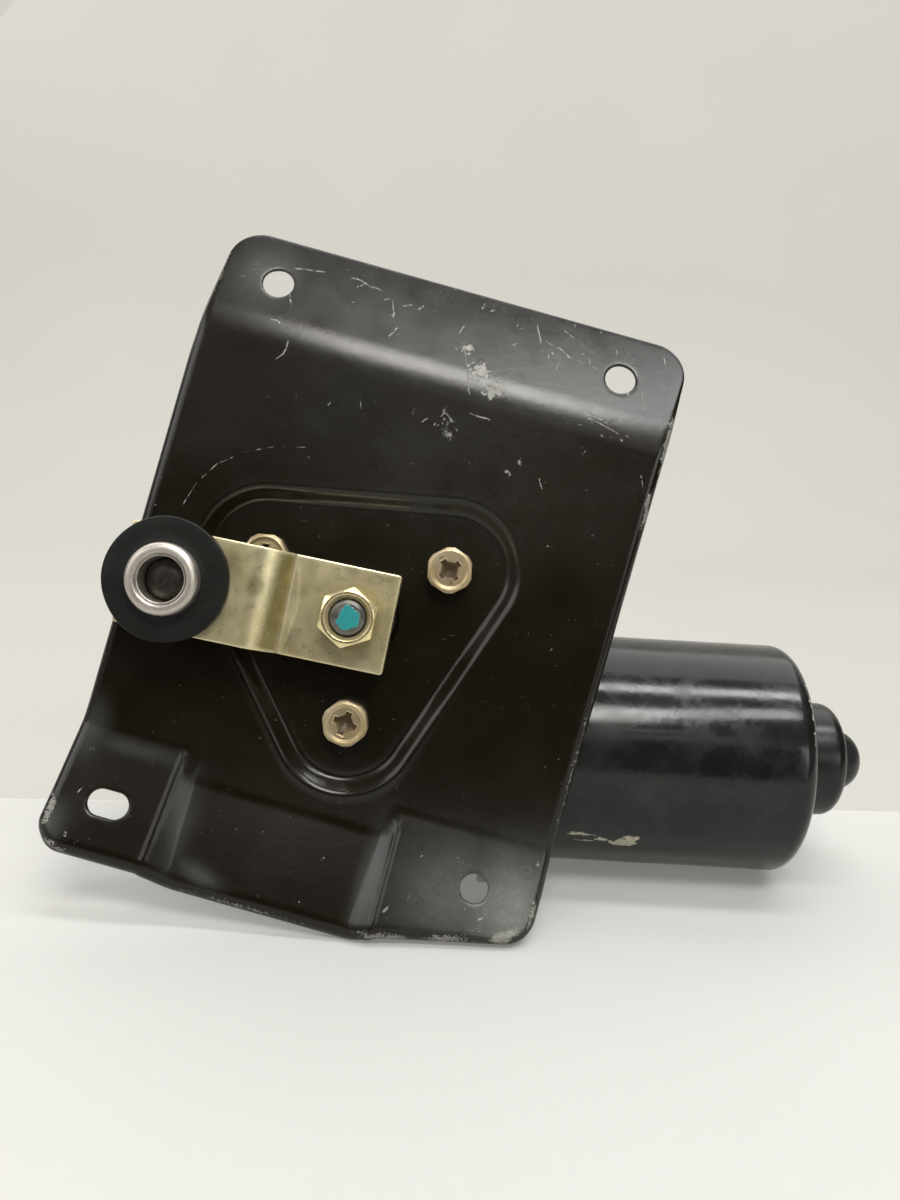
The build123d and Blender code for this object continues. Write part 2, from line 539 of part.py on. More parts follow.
sh = spin_y([(0, -w_end), (3.3, -w_end), (4.0, -w_end + 0.7), (4.0, -ARM_LOW - ARM_T), (5.0, -ARM_LOW - ARM_T),
             (5.0, -ARM_LOW), (6.0, -ARM_LOW), (6.0, -3.0), (5.3, -3.0), (5.3, -2.0), (6.0, -2.0),
             (6.0, 45.0), (5.4, 45.6), (0, 45.6)])
nodes["output_shaft"] = sh
nodes["output_thrust_washer"] = spin_y([(6.05, -1.9), (9.6, -1.9), (9.6, -0.98), (6.05, -0.98)])
clip = spin_y([(5.3, -2.95), (8.2, -2.95), (8.2, -2.0), (5.3, -2.0)]) - Rot(0, 70, 0) * box(
    4.0, 10.0, -4, 0, -1.6, 1.6)
nodes["shaft_circlip"] = clip

# crank arm: flat strap with a jog towards the front
z0, z1 = ARM_LOW, ARM_LOW + ARM_JOG
front = FilletPolyline((-ARM_END, z0 + ARM_T), (15.6, z0 + ARM_T), (20.8, z1 + ARM_T), (ARM_TIP, z1 + ARM_T),
                       radius=[5.0, 2.5])
backl = FilletPolyline((-ARM_END, z0), (16.9, z0), (22.1, z1), (ARM_TIP, z1), radius=[2.5, 5.0])
face = make_face([front, Line((ARM_TIP, z1 + ARM_T), (ARM_TIP, z1)), backl,
                  Line((-ARM_END, z0), (-ARM_END, z0 + ARM_T))])
arm = extrude(Plane.XZ * face, amount=ARM_W / 2, both=True)
arm = arm - Cylinder(5.0, 60) - Pos(CRANK_R, 0, 0) * Cylinder(4.0, 60)
try:
    ve = [e for e in arm.edges().filter_by(Axis.Z) if abs(abs(e.center().Y) - ARM_W / 2) < 0.01]
    arm = fillet(ve, 1.2)
except Exception:
    pass
nodes["crank_arm"] = CRANK * arm
nut = Pos(0, 0, ARM_LOW + ARM_T) * (Rot(0, 0, 13) * hex_head(13.0, 6.5, 6.3))
nut = nut - Cylinder(4.0, 60)
nodes["shaft_nut"] = CRANK * nut
zt = z1 + ARM_T
pin = make_face(Polyline((0, z1 - 1.6), (5.4, z1 - 1.6), (6.5, z1 - 0.8), (6.5, z1), (4.0, z1), (4.0, zt),
                         (5.12, zt), (5.12, zt + 0.9), (4.6, zt + 1.6), (3.6, zt + 2.1), (2.0, zt + 2.4),
                         (0, zt + 2.45), close=True))
nodes["crank_pin"] = CRANK * (Pos(CRANK_R, 0, 0) * revolve(Plane.XZ * pin, Axis.Z))

# bush for the linkage rod, with its rubber washer, free to turn on the pin
b0, b1 = zt + 0.3, zt + 6.2
bush = make_face(Polyline((5.2, b0), (7.9, b0), (7.9, b0 + 2.4), (8.4, b0 + 2.4), (8.4, b1 - 1.6), (8.15, b1 - 1.0), (7.5, b1 - 0.3), (6.9, b1),
                          (6.3, b1), (5.6, b1 - 0.7), (5.45, b1 - 1.4), (5.2, b1 - 1.5), close=True))
nodes["link_bush"] = CRANK * (Pos(CRANK_R, 0, 0) * revolve(Plane.XZ * bush, Axis.Z))
wash = make_face(Polyline((7.9, b0), (14.2, b0), (14.5, b0 + 0.3), (14.5, b0 + 2.1), (14.2, b0 + 2.4),
                          (7.9, b0 + 2.4), close=True))
nodes["rubber_washer"] = CRANK * (Pos(CRANK_R, 0, 0) * revolve(Plane.XZ * wash, Axis.Z))

# --------------------------------------------------------------- placement ----
STAND = Location(MOVE) * Rot(-LEAN, 0, 0)
placed = {k: STAND * s for k, s in nodes.items()}

if __name__ == "__main__":
    os.makedirs("parts", exist_ok=True)
    lo, hi = [1e9] * 3, [-1e9] * 3
    for k, s in placed.items():
        b = s.bounding_box()
        for i, (a, c) in enumerate(zip((b.min.X, b.min.Y, b.min.Z), (b.max.X, b.max.Y, b.max.Z))):
            lo[i], hi[i] = min(lo[i], a), max(hi[i], c)
        if k in ("mounting_plate", "motor_can"):
            print(k, "z min", round(b.min.Z, 3))
        export_step(s, f"parts/{k}.step")
    print("nodes", len(placed), "box", [round(v, 3) for v in lo], [round(v, 3) for v in hi])
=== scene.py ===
import math
import bpy
import bmesh
import numpy as np
from mathutils import Matrix, Vector
from mathutils.geometry import delaunay_2d_cdt


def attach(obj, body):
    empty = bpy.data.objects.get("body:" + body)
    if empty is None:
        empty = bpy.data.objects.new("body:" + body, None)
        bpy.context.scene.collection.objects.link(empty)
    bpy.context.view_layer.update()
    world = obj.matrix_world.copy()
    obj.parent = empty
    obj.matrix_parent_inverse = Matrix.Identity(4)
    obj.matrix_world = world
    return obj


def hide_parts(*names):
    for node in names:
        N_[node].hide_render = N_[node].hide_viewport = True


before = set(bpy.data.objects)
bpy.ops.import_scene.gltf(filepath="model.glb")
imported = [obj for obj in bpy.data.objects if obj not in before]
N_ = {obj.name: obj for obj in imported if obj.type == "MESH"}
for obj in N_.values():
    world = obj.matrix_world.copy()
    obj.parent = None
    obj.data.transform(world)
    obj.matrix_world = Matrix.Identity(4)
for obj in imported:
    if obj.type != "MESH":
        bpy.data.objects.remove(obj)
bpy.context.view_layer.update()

MM = 0.001

# ------------------------------------------------------------------ frames --
LEAN = math.radians(12.78)
MOVE = Vector((-35.326, -20.814, 74.064))
BT = math.radians(12.5)
CA = math.radians(171.3)
TILT = math.radians(17.0)
TT = math.tan(TILT)
SCREW_R = 26.0
SCREW_ANG = (41.3, 161.3, 281.3)

# working axes (shaft along Y, armature along X) to the row frame, millimetres
WORK = Matrix.Translation(MOVE) @ Matrix.Rotation(-LEAN, 4, 'X')


def frame_at(origin, xd, zd):
    x, z = Vector(xd).normalized(), Vector(zd).normalized()
    y = z.cross(x)
    m = Matrix((x, y, z)).transposed().to_4x4()
    m.translation = Vector(origin)
    return m


PANEL = WORK @ frame_at((0, 0, 0), (math.cos(BT), 0, -math.sin(BT)), (0, -1, 0))
CRANK = WORK @ frame_at((0, 0, 0), (math.cos(CA), 0, math.sin(CA)), (0, -1, 0))
MOTOR = WORK @ frame_at((0, 38.0, -34.0), (0, -1, 0), (1, 0, 0))    # z along the armature


def to_np(m):
    return np.array([list(r) for r in m])


def bake(co, m):
    co = np.asarray(co, float)
    a = to_np(m)
    return (co @ a[:3, :3].T + a[:3, 3]) * MM


def make(name, co, faces, m, mat, body, slot=None, smooth=True, sharp=None, replaces=()):
    me = bpy.data.meshes.new(name)
    me.from_pydata([tuple(v) for v in bake(co, m)], [], [list(map(int, f)) for f in faces])
    me.validate()
    me.update()
    bm = bmesh.new()
    bm.from_mesh(me)
    bmesh.ops.remove_doubles(bm, verts=bm.verts, dist=2e-6)
    bmesh.ops.recalc_face_normals(bm, faces=bm.faces)
    bm.to_mesh(me)
    bm.free()
    o = bpy.data.objects.new(name, me)
    bpy.context.scene.collection.objects.link(o)
    if smooth:
        for p in me.polygons:
            p.use_smooth = True
        if sharp:
            me.set_sharp_from_angle(angle=math.radians(sharp))
    me.materials.append(mat)
    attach(o, body)
    if replaces:
        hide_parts(*replaces)
    return o


def lathe(profile, n=128, closed=False):
    """Turn (r, z) points about Z. Points with r of 0 close the ends."""
    co, faces, rings = [], [], []
    for r, z in profile:
        if r < 1e-6:
            rings.append([len(co)])
            co.append((0, 0, z))
        else:
            s = len(co)
            rings.append(list(range(s, s + n)))
            for i in range(n):
                a = 2 * math.pi * i / n
                co.append((r * math.cos(a), r * math.sin(a), z))
    pairs = list(zip(rings[:-1], rings[1:]))
    if closed:
        pairs.append((rings[-1], rings[0]))
    for a, b in pairs:
        for i in range(n):
            j = (i + 1) % n
            if len(a) == 1 and len(b) == 1:
                continue
            if len(a) == 1:
                faces.append((a[0], b[i], b[j]))
            elif len(b) == 1:
                faces.append((a[i], b[0], a[j]))
            else:
                faces.append((a[i], b[i], b[j], a[j]))
    return co, faces


def arc(cx, cy, r, a0, a1, n=8):
    return [(cx + r * math.cos(math.radians(a0 + (a1 - a0) * k / n)),
             cy + r * math.sin(math.radians(a0 + (a1 - a0) * k / n))) for k in range(n + 1)]


def merge(*parts):
    co, faces = [], []
    for c, f in parts:
        s = len(co)
        co += [tuple(v) for v in c]
        faces += [tuple(i + s for i in q) for q in f]
    return co, faces


def moved(part, m):
    a = to_np(m)
    c = np.asarray(part[0], float) @ a[:3, :3].T + a[:3, 3]
    return [tuple(v) for v in c], part[1]


# --------------------------------------------------------------- materials --
class Net:
    """Small helper for a procedural surface."""

    def __init__(self, name):
        self.mat = bpy.data.materials.new(name)
        self.mat.use_nodes = True
        self.nt = self.mat.node_tree
        self.nt.nodes.clear()
        self.out = self.nt.nodes.new("ShaderNodeOutputMaterial")
        self.b = self.nt.nodes.new("ShaderNodeBsdfPrincipled")
        self.nt.links.new(self.b.outputs[0], self.out.inputs[0])
        self.tc = self.nt.nodes.new("ShaderNodeTexCoord")
        self.obj = self.tc.outputs["Object"]

    def link(self, a, sock):
        if isinstance(a, (int, float)):
            sock.default_value = a
        elif isinstance(a, (tuple, list)):
            sock.default_value = tuple(a) + ((1.0,) if len(a) == 3 and len(sock.default_value) == 4 else ())
        else:
            self.nt.links.new(a, sock)

    def mapping(self, rot=(0, 0, 0), scale=(1, 1, 1), loc=(0, 0, 0), vec=None):
        n = self.nt.nodes.new("ShaderNodeMapping")
        self.link(vec or self.obj, n.inputs[0])
        n.inputs[1].default_value = loc
        n.inputs[2].default_value = rot
        n.inputs[3].default_value = scale
        return n.outputs[0]

    def noise(self, scale, detail=4.0, rough=0.55, vec=None, dist=0.0, seed=0.0, color=False):
        n = self.nt.nodes.new("ShaderNodeTexNoise")
        n.noise_dimensions = '4D'
        self.link(vec or self.obj, n.inputs["Vector"])
        n.inputs["W"].default_value = seed
        n.inputs["Scale"].default_value = scale
        n.inputs["Detail"].default_value = detail
        n.inputs["Roughness"].default_value = rough
        n.inputs["Distortion"].default_value = dist
        return n.outputs[1 if color else 0]

    def voronoi(self, scale, feature='F1', vec=None, out=0, rand=1.0):
        n = self.nt.nodes.new("ShaderNodeTexVoronoi")
        n.feature = feature
        self.link(vec or self.obj, n.inputs["Vector"])
        n.inputs["Scale"].default_value = scale
        n.inputs["Randomness"].default_value = rand
        return n.outputs[out]

    def math(self, op, a, b=None, c=None, clamp=False):
        n = self.nt.nodes.new("ShaderNodeMath")
        n.operation = op
        n.use_clamp = clamp
        self.link(a, n.inputs[0])
        if b is not None:
            self.link(b, n.inputs[1])
        if c is not None:
            self.link(c, n.inputs[2])
        return n.outputs[0]

    def step(self, x, lo, hi):
        """0 below lo, 1 above hi, smooth between."""
        n = self.nt.nodes.new("ShaderNodeMapRange")
        n.interpolation_type = 'SMOOTHSTEP'
        self.link(x, n.inputs[0])
        n.inputs[1].default_value = lo
        n.inputs[2].default_value = hi
        return n.outputs[0]

    def fit(self, x, lo, hi, a, b):
        n = self.nt.nodes.new("ShaderNodeMapRange")
        self.link(x, n.inputs[0])
        n.inputs[1].default_value = lo
        n.inputs[2].default_value = hi
        n.inputs[3].default_value = a
        n.inputs[4].default_value = b
        return n.outputs[0]

    def mix(self, f, a, b):
        n = self.nt.nodes.new("ShaderNodeMix")
        n.data_type = 'RGBA'
        self.link(f, n.inputs[0])
        self.link(a, n.inputs[6])
        self.link(b, n.inputs[7])
        return n.outputs[2]

    def mixf(self, f, a, b):
        n = self.nt.nodes.new("ShaderNodeMix")
        n.data_type = 'FLOAT'
        self.link(f, n.inputs[0])
        self.link(a, n.inputs[2])
        self.link(b, n.inputs[3])
        return n.outputs[0]

    def attr(self, name):
        n = self.nt.nodes.new("ShaderNodeAttribute")
        n.attribute_name = name
        return n.outputs["Fac"]

    def bump(self, h, dist, strength=1.0, normal=None):
        n = self.nt.nodes.new("ShaderNodeBump")
        n.inputs["Strength"].default_value = strength
        n.inputs["Distance"].default_value = dist
        self.link(h, n.inputs["Height"])
        if normal is not None:
            self.link(normal, n.inputs["Normal"])
        return n.outputs[0]

    def local(self, m):
        """Coordinates in millimetres of a local frame, from the object's own metres."""
        inv = m.inverted()
        loc, rot, sca = inv.decompose()
        v = self.nt.nodes.new("ShaderNodeVectorMath")
        v.operation = 'SCALE'
        self.link(self.obj, v.inputs[0])
        v.inputs["Scale"].default_value = 1000.0
        n = self.nt.nodes.new("ShaderNodeMapping")
        self.link(v.outputs[0], n.inputs[0])
        n.inputs[1].default_value = loc
        n.inputs[2].default_value = rot.to_euler('XYZ')
        s = self.nt.nodes.new("ShaderNodeSeparateXYZ")
        self.link(n.outputs[0], s.inputs[0])
        return n.outputs[0], s.outputs[0], s.outputs[1], s.outputs[2]

    def set(self, **kw):
        names = {"base": "Base Color", "rough": "Roughness", "metal": "Metallic", "normal": "Normal",
                 "spec": "Specular IOR Level", "coat": "Coat Weight", "coat_rough": "Coat Roughness",
                 "aniso": "Anisotropic", "sheen": "Sheen Weight", "ior": "IOR"}
        for k, v in kw.items():
            self.link(v, self.b.inputs[names[k]])
        return self.mat


def paint_bracket():
    n = Net("bracket_paint")
    scr, chip, dust, lip, nick = (n.attr(a) for a in ("scratch", "chip", "dust", "lip", "nick"))
    big = n.noise(28, 3, 0.5, seed=1)
    mid = n.noise(160, 5, 0.6, seed=2)
    fine = n.noise(900, 4, 0.6, seed=3)
    vfine = n.noise(3200, 3, 0.6, seed=4)
    base = n.mix(n.fit(big, 0.3, 0.7, 0, 1), (0.0042, 0.0028, 0.0009), (0.0064, 0.0045, 0.0018))
    base = n.mix(n.math('MULTIPLY', n.step(vfine, 0.55, 0.75), 0.28), base, (0.017, 0.0130, 0.0080))
    motes = n.math('MULTIPLY', n.step(n.noise(1250, 1, 0.3, seed=15), 0.765, 0.80), 0.55)
    base = n.mix(motes, base, (0.115, 0.112, 0.098))
    # dull dust film
    haze = n.noise(300, 6, 0.7, seed=12)
    film = n.math('ADD', n.math('MULTIPLY', mid, 0.24), n.math('MULTIPLY', haze, 0.42))
    film = n.math('ADD', film, n.math('MULTIPLY', fine, 0.40))
    film = n.math('MULTIPLY', dust, n.fit(film, 0.36, 0.76, 0.46, 0.92))
    film = n.math('MULTIPLY', film, n.fit(lip, 0.0, 0.6, 1.0, 0.2))
    base = n.mix(n.math('MULTIPLY', film, 0.88), base, (0.190, 0.197, 0.178))
    # paint chips inside worn patches
    worn = n.math('MULTIPLY', chip, 1.0)
    t = n.math('ADD', n.math('MULTIPLY', worn, 0.36), n.math('MULTIPLY', fine, 0.62))
    t = n.math('ADD', t, n.math('MULTIPLY', mid, 0.30))
    chips = n.step(t, 0.72, 0.755)
    flake = n.noise(2300, 4, 0.7, seed=13)
    t2 = n.math('ADD', n.math('MULTIPLY', nick, 0.30), n.math('MULTIPLY', flake, 0.55))
    t2 = n.math('ADD', t2, n.math('MULTIPLY', n.noise(560, 4, 0.65, vec=n.mapping(rot=(0, 0.22, 0), scale=(0.55, 1, 1)), seed=14), 0.34))
    chips = n.math('MAXIMUM', chips, n.step(t2, 0.625, 0.655))
    # bright rubbing along the rim
    e = n.math('MULTIPLY', lip, n.noise(420, 5, 0.7, seed=7))
    ewear = n.step(e, 0.56, 0.60)
    e2 = n.math('MULTIPLY', n.step(lip, 0.4, 1.0), n.noise(1300, 3, 0.7, seed=8))
    ewear = n.math('MAXIMUM', ewear, n.step(e2, 0.64, 0.70))
    # scratches
    jag = n.math('MULTIPLY', n.noise(700, 4, 0.7, seed=5), 0.42)
    sline = n.step(n.math('ADD', scr, jag), 0.40, 0.30)
    sline = n.math('MULTIPLY', sline, n.step(n.noise(260, 3, 0.6, seed=6), 0.36, 0.52))
    # hairline rub marks
    hair = n.noise(260, 2, 0.5, vec=n.mapping(rot=(0.3, 0.5, 0.9), scale=(1, 9, 9)), seed=9)
    hair2 = n.noise(220, 2, 0.5, vec=n.mapping(rot=(0.1, -0.6, -0.5), scale=(1, 12, 12)), seed=10)
    hairs = n.math('MAXIMUM', n.step(hair, 0.735, 0.76), n.step(hair2, 0.74, 0.76))
    hairs = n.math('MULTIPLY', hairs, n.step(big, 0.44, 0.60))
    hairs = n.math('MULTIPLY', hairs, 0.35)
    mask = n.math('MAXIMUM', chips, n.math('MAXIMUM', ewear, sline))
    veil = n.math('MULTIPLY', n.math('MAXIMUM', chips, ewear), n.fit(fine, 0.35, 0.65, 0.55, 1.0))
    mask = n.math('MAXIMUM', veil, sline)
    metal_c = n.mix(n.fit(vfine, 0.35, 0.65, 0, 1), (0.16, 0.157, 0.138), (0.31, 0.305, 0.27))
    base = n.mix(hairs, base, (0.16, 0.155, 0.14))
    base = n.mix(mask, base, metal_c)
    rough = n.fit(mid, 0.25, 0.75, 0.18, 0.255)
    rough = n.math('ADD', rough, n.math('MULTIPLY', film, 0.22))
    rough = n.mixf(mask, rough, 0.62)
    peel = n.bump(n.noise(620, 2, 0.5, seed=11), 0.00004, 0.6)
    fleck = n.bump(vfine, 0.00001, 0.5, peel)
    nrm = n.bump(n.math('MULTIPLY', mask, -1.0), 0.00006, 0.8, fleck)
    return n.set(base=base, rough=rough, metal=n.math('MULTIPLY', mask, 0.25), normal=nrm, spec=0.33)


def paint_can():
    n = Net("can_enamel")
    v, x, y, z = n.local(MOTOR)
    big = n.noise(40, 3, 0.5, seed=21)
    mid = n.noise(210, 5, 0.65, seed=22)
    fine = n.noise(1100, 4, 0.6, seed=23)
    chip = n.attr("chip")
    rim = n.attr("rim")
    base = n.mix(n.fit(big, 0.3, 0.7, 0, 1), (0.0050, 0.0056, 0.0052), (0.0085, 0.0090, 0.0082))
    smear = n.noise(70, 6, 0.72, dist=0.6, seed=24)
    film = n.step(smear, 0.42, 0.68)
    base = n.mix(n.math('MULTIPLY', film, 0.26), base, (0.034, 0.036, 0.033))
    t = n.math('ADD', n.math('MULTIPLY', chip, 0.42), n.math('MULTIPLY', mid, 0.45))
    t = n.math('ADD', t, n.math('MULTIPLY', n.noise(650, 4, 0.65, seed=29), 0.35))
    chips = n.step(t, 0.70, 0.73)
    specks = n.step(fine, 0.79, 0.82)
    c = n.mix(n.fit(fine, 0.35, 0.65, 0, 1), (0.22, 0.205, 0.14), (0.42, 0.40, 0.31))
    r = n.math('MULTIPLY', rim, n.noise(380, 5, 0.7, seed=26))
    rimw = n.step(r, 0.50, 0.56)
    mask = n.math('MAXIMUM', chips, rimw)
    base = n.mix(n.math('MULTIPLY', specks, 0.35), base, (0.13, 0.13, 0.12))
    base = n.mix(mask, base, c)
    rough = n.math('ADD', n.fit(mid, 0.3, 0.7, 0.10, 0.16), n.math('MULTIPLY', film, 0.12))
    rough = n.math('ADD', rough, n.math('MULTIPLY', n.step(z, 118.9, 120.6), 0.13))
    rough = n.mixf(mask, rough, 0.5)
    nrm = n.bump(n.noise(75, 2, 0.5, seed=27), 0.00012, 0.3)
    nrm = n.bump(n.noise(520, 3, 0.55, seed=28), 0.00003, 0.6, nrm)
    nrm = n.bump(n.math('MULTIPLY', mask, -1.0), 0.00005, 0.8, nrm)
    return n.set(base=base, rough=rough, normal=nrm, spec=0.31)


def plated(name, ca, cb, dark, seed=0, rough=(0.26, 0.44), grain=None, spot=0.5, relief=1.0, blotch=0.42, bare=0.92,
           dirt_and_shade=(0.03, 0.022, 0.012)):
    """Passivated zinc: mottled tone, fine rolling grain, small dark specks."""
    n = Net(name)
    big = n.noise(70, 4, 0.6, seed=seed)
    mid = n.noise(330, 5, 0.65, seed=seed + 1)
    fine = n.noise(1900, 4, 0.65, seed=seed + 2)
    base = n.mix(n.fit(big, 0.32, 0.68, 0, 1), ca, cb)
    tint = n.noise(120, 2, 0.5, seed=seed + 3)
    base = n.mix(n.math('MULTIPLY', n.step(tint, 0.45, 0.7), 0.40), base, (0.62, 0.585, 0.42))
    base = n.mix(n.math('MULTIPLY', n.step(mid, 0.50, 0.72), blotch), base, dark)
    specks = n.step(n.noise(1650, 1, 0.35, seed=seed + 7), 0.70, 0.76)
    base = n.mix(n.math('MULTIPLY', specks, spot), base, (0.075, 0.065, 0.045))
    # dirt and painted shade: the attribute darkens grime and also hollows, creases and the feet of parts where shade
    # falls
    dirt_shade_mask = n.math('MULTIPLY', n.attr("dirt_and_shade"), n.fit(mid, 0.25, 0.6, 0.85, 1.2), clamp=True)
    base = n.mix(dirt_shade_mask, base, dirt_and_shade)
    # tarnish and painted shade from the attribute
    tarn_and_shade = n.math('MULTIPLY', n.attr("tarnish_and_shade"), n.fit(mid, 0.3, 0.65, 0.85, 1.1), clamp=True)
    base = n.mix(tarn_and_shade, base, n.mix(n.fit(fine, 0.3, 0.7, 0, 1), (0.13, 0.105, 0.032), (0.20, 0.165, 0.060)))
    gr = n.noise(900, 3, 0.6, vec=n.mapping(rot=grain or (0, 0, 0), scale=(0.12, 1, 1)), seed=seed + 4)
    r = n.fit(mid, 0.3, 0.7, rough[0], rough[1])
    r = n.math('ADD', r, n.math('MULTIPLY', specks, 0.2))
    r = n.math('ADD', r, n.math('MULTIPLY', dirt_shade_mask, 0.25))
    nrm = n.bump(gr, 0.000018 * relief, 0.5)
    nrm = n.bump(mid, 0.00005 * relief, 0.35, nrm)
    nrm = n.bump(fine, 0.000012 * relief, 0.5, nrm)
    return n.set(base=base, rough=r, metal=n.mixf(dirt_shade_mask, bare, 0.2), normal=nrm)


def metal(name, col, col2, seed=0, rough=(0.25, 0.45), bump=0.00002, scale=400, specks=0.3, grime=(0.05, 0.04, 0.03),
          shade_nose=False):
    n = Net(name)
    big = n.noise(90, 4, 0.6, seed=seed)
    mid = n.noise(scale, 5, 0.65, seed=seed + 1)
    fine = n.noise(scale * 5, 3, 0.6, seed=seed + 2)
    base = n.mix(n.fit(big, 0.3, 0.7, 0, 1), col, col2)
    dirt_and_shade = n.math('MULTIPLY', n.step(mid, 0.56, 0.74), specks)
    if shade_nose:
        # painted shade: by position, the housing nose round the shaft takes a near-black colour
        v, x, y, z = n.local(PANEL)
        far = n.math('SQRT', n.math('ADD', n.math('POWER', x, 2.0), n.math('POWER', y, 2.0)))
        painted_nose_shade = n.math('MULTIPLY', n.step(far, 20.0, 18.5), n.step(z, -20.0, -17.0))
        dirt_and_shade = n.math('MAXIMUM', dirt_and_shade, painted_nose_shade)
        grime = n.mix(n.fit(fine, 0.3, 0.7, 0, 1), (0.005, 0.004, 0.002), (0.012, 0.010, 0.007))
    base = n.mix(dirt_and_shade, base, grime)
    r = n.math('ADD', n.fit(fine, 0.3, 0.7, rough[0], rough[1]), n.math('MULTIPLY', dirt_and_shade, 0.3))
    nrm = n.bump(mid, bump * 3, 0.4)
    nrm = n.bump(fine, bump, 0.6, nrm)
    return n.set(base=base, rough=r, metal=n.mixf(dirt_and_shade, 0.95, 0.3), normal=nrm)


def dull(name, col, col2, seed=0, rough=(0.45, 0.65), bump=0.00003, scale=500, spec=0.5, dust=0.2,
         dust_col=(0.12, 0.115, 0.105)):
    n = Net(name)
    big = n.noise(110, 4, 0.6, seed=seed)
    mid = n.noise(scale, 5, 0.65, seed=seed + 1)
    fine = n.noise(scale * 4, 3, 0.6, seed=seed + 2)
    base = n.mix(n.fit(big, 0.3, 0.7, 0, 1), col, col2)
    base = n.mix(n.math('MULTIPLY', n.step(mid, 0.55, 0.8), dust), base, dust_col)
    r = n.fit(mid, 0.3, 0.7, rough[0], rough[1])
    nrm = n.bump(mid, bump * 2, 0.4)
    nrm = n.bump(fine, bump, 0.5, nrm)
    return n.set(base=base, rough=r, normal=nrm, spec=spec)


M = {
    "bracket": paint_bracket(),
    "bracket_back": dull("bracket_back_paint", (0.0075, 0.0056, 0.0032), (0.0115, 0.0090, 0.0060), 30,
                         rough=(0.26, 0.40), dust=0.45, dust_col=(0.055, 0.050, 0.042), scale=260),
    "can": paint_can(),
    "arm": plated("arm_zinc", (0.67, 0.565, 0.315), (0.79, 0.71, 0.445), (0.32, 0.255, 0.115), 40, rough=(0.24, 0.36),
                  grain=(0, 0, 0), spot=0.60, blotch=0.24, relief=0.9, bare=0.86),
    "nut": plated("nut_zinc", (0.78, 0.64, 0.31), (0.86, 0.76, 0.45), (0.48, 0.38, 0.16), 50, rough=(0.20, 0.32), spot=0.0,
                  relief=0.3),
    "screw": plated("screw_zinc", (0.50, 0.375, 0.195), (0.61, 0.50, 0.31), (0.28, 0.19, 0.08), 60, rough=(0.24, 0.40), spot=0.35, relief=0.6,
                    dirt_and_shade=(0.050, 0.027, 0.007)),
    "ring": metal("bush_steel", (0.44, 0.40, 0.355), (0.59, 0.545, 0.49), 70, rough=(0.33, 0.50), specks=0.75,
                  grime=(0.10, 0.075, 0.05)),
    "dark_steel": metal("dark_steel", (0.22, 0.21, 0.20), (0.32, 0.31, 0.29), 80, rough=(0.3, 0.5), specks=0.6),
    "bright": metal("bright_steel", (0.52, 0.52, 0.52), (0.62, 0.62, 0.61), 90, rough=(0.18, 0.3), specks=0.2),
    "cast": metal("cast_alloy", (0.50, 0.51, 0.52), (0.60, 0.61, 0.62), 100, rough=(0.42, 0.6), bump=0.00006,
                  scale=700, specks=0.35, grime=(0.10, 0.095, 0.085)),
    # cast alloy with painted shade on its nose round the shaft
    "housing": metal("housing_alloy_shaded_nose", (0.50, 0.51, 0.52), (0.60, 0.61, 0.62), 105, rough=(0.42, 0.6), bump=0.00006,
                     scale=700, specks=0.35, grime=(0.016, 0.014, 0.012), shade_nose=True),
    "cover": dull("cover_paint", (0.010, 0.010, 0.010), (0.018, 0.018, 0.018), 110, rough=(0.28, 0.42), dust=0.25),
    "rubber": dull("rubber", (0.0046, 0.0047, 0.0040), (0.0072, 0.0073, 0.0062), 120, rough=(0.38, 0.52), dust=0.24,
                   scale=900, bump=0.00002, spec=0.18, dust_col=(0.042, 0.042, 0.036)),
    "gasket": dull("gasket", (0.26, 0.22, 0.15), (0.34, 0.30, 0.22), 130, rough=(0.7, 0.9)),
    "bronze": metal("bronze", (0.50, 0.34, 0.17), (0.62, 0.43, 0.24), 140, rough=(0.32, 0.5)),
    "acetal": dull("acetal", (0.78, 0.75, 0.66), (0.86, 0.84, 0.76), 150, rough=(0.35, 0.5), dust=0.1,
                   dust_col=(0.55, 0.5, 0.4)),
    "phenolic": dull("phenolic", (0.20, 0.09, 0.035), (0.27, 0.13, 0.055), 160, rough=(0.4, 0.55), dust=0.15),
    "brass": metal("brass", (0.72, 0.54, 0.26), (0.80, 0.63, 0.34), 170, rough=(0.22, 0.38)),
    "ferrite": dull("ferrite", (0.05, 0.05, 0.054), (0.08, 0.08, 0.084), 180, rough=(0.5, 0.7)),
    "copper": metal("copper", (0.66, 0.25, 0.09), (0.76, 0.34, 0.14), 190, rough=(0.25, 0.42)),
    "carbon": dull("carbon", (0.03, 0.03, 0.032), (0.045, 0.045, 0.047), 200, rough=(0.5, 0.7)),
    "core": metal("core_steel", (0.20, 0.20, 0.22), (0.27, 0.27, 0.29), 210, rough=(0.35, 0.5), scale=900),
    # near-black steel for the stud in the bore: grime plus painted shade that keeps the bore dark
    "grimy_shaded": metal("grimy_shaded_steel", (0.022, 0.020, 0.016), (0.060, 0.055, 0.047), 230, rough=(0.28, 0.5), specks=0.85,
                   grime=(0.012, 0.010, 0.008), scale=300),
    "greased": metal("greased_steel", (0.16, 0.15, 0.14), (0.24, 0.23, 0.21), 220, rough=(0.22, 0.4), specks=0.8,
                     grime=(0.02, 0.017, 0.013)),
}


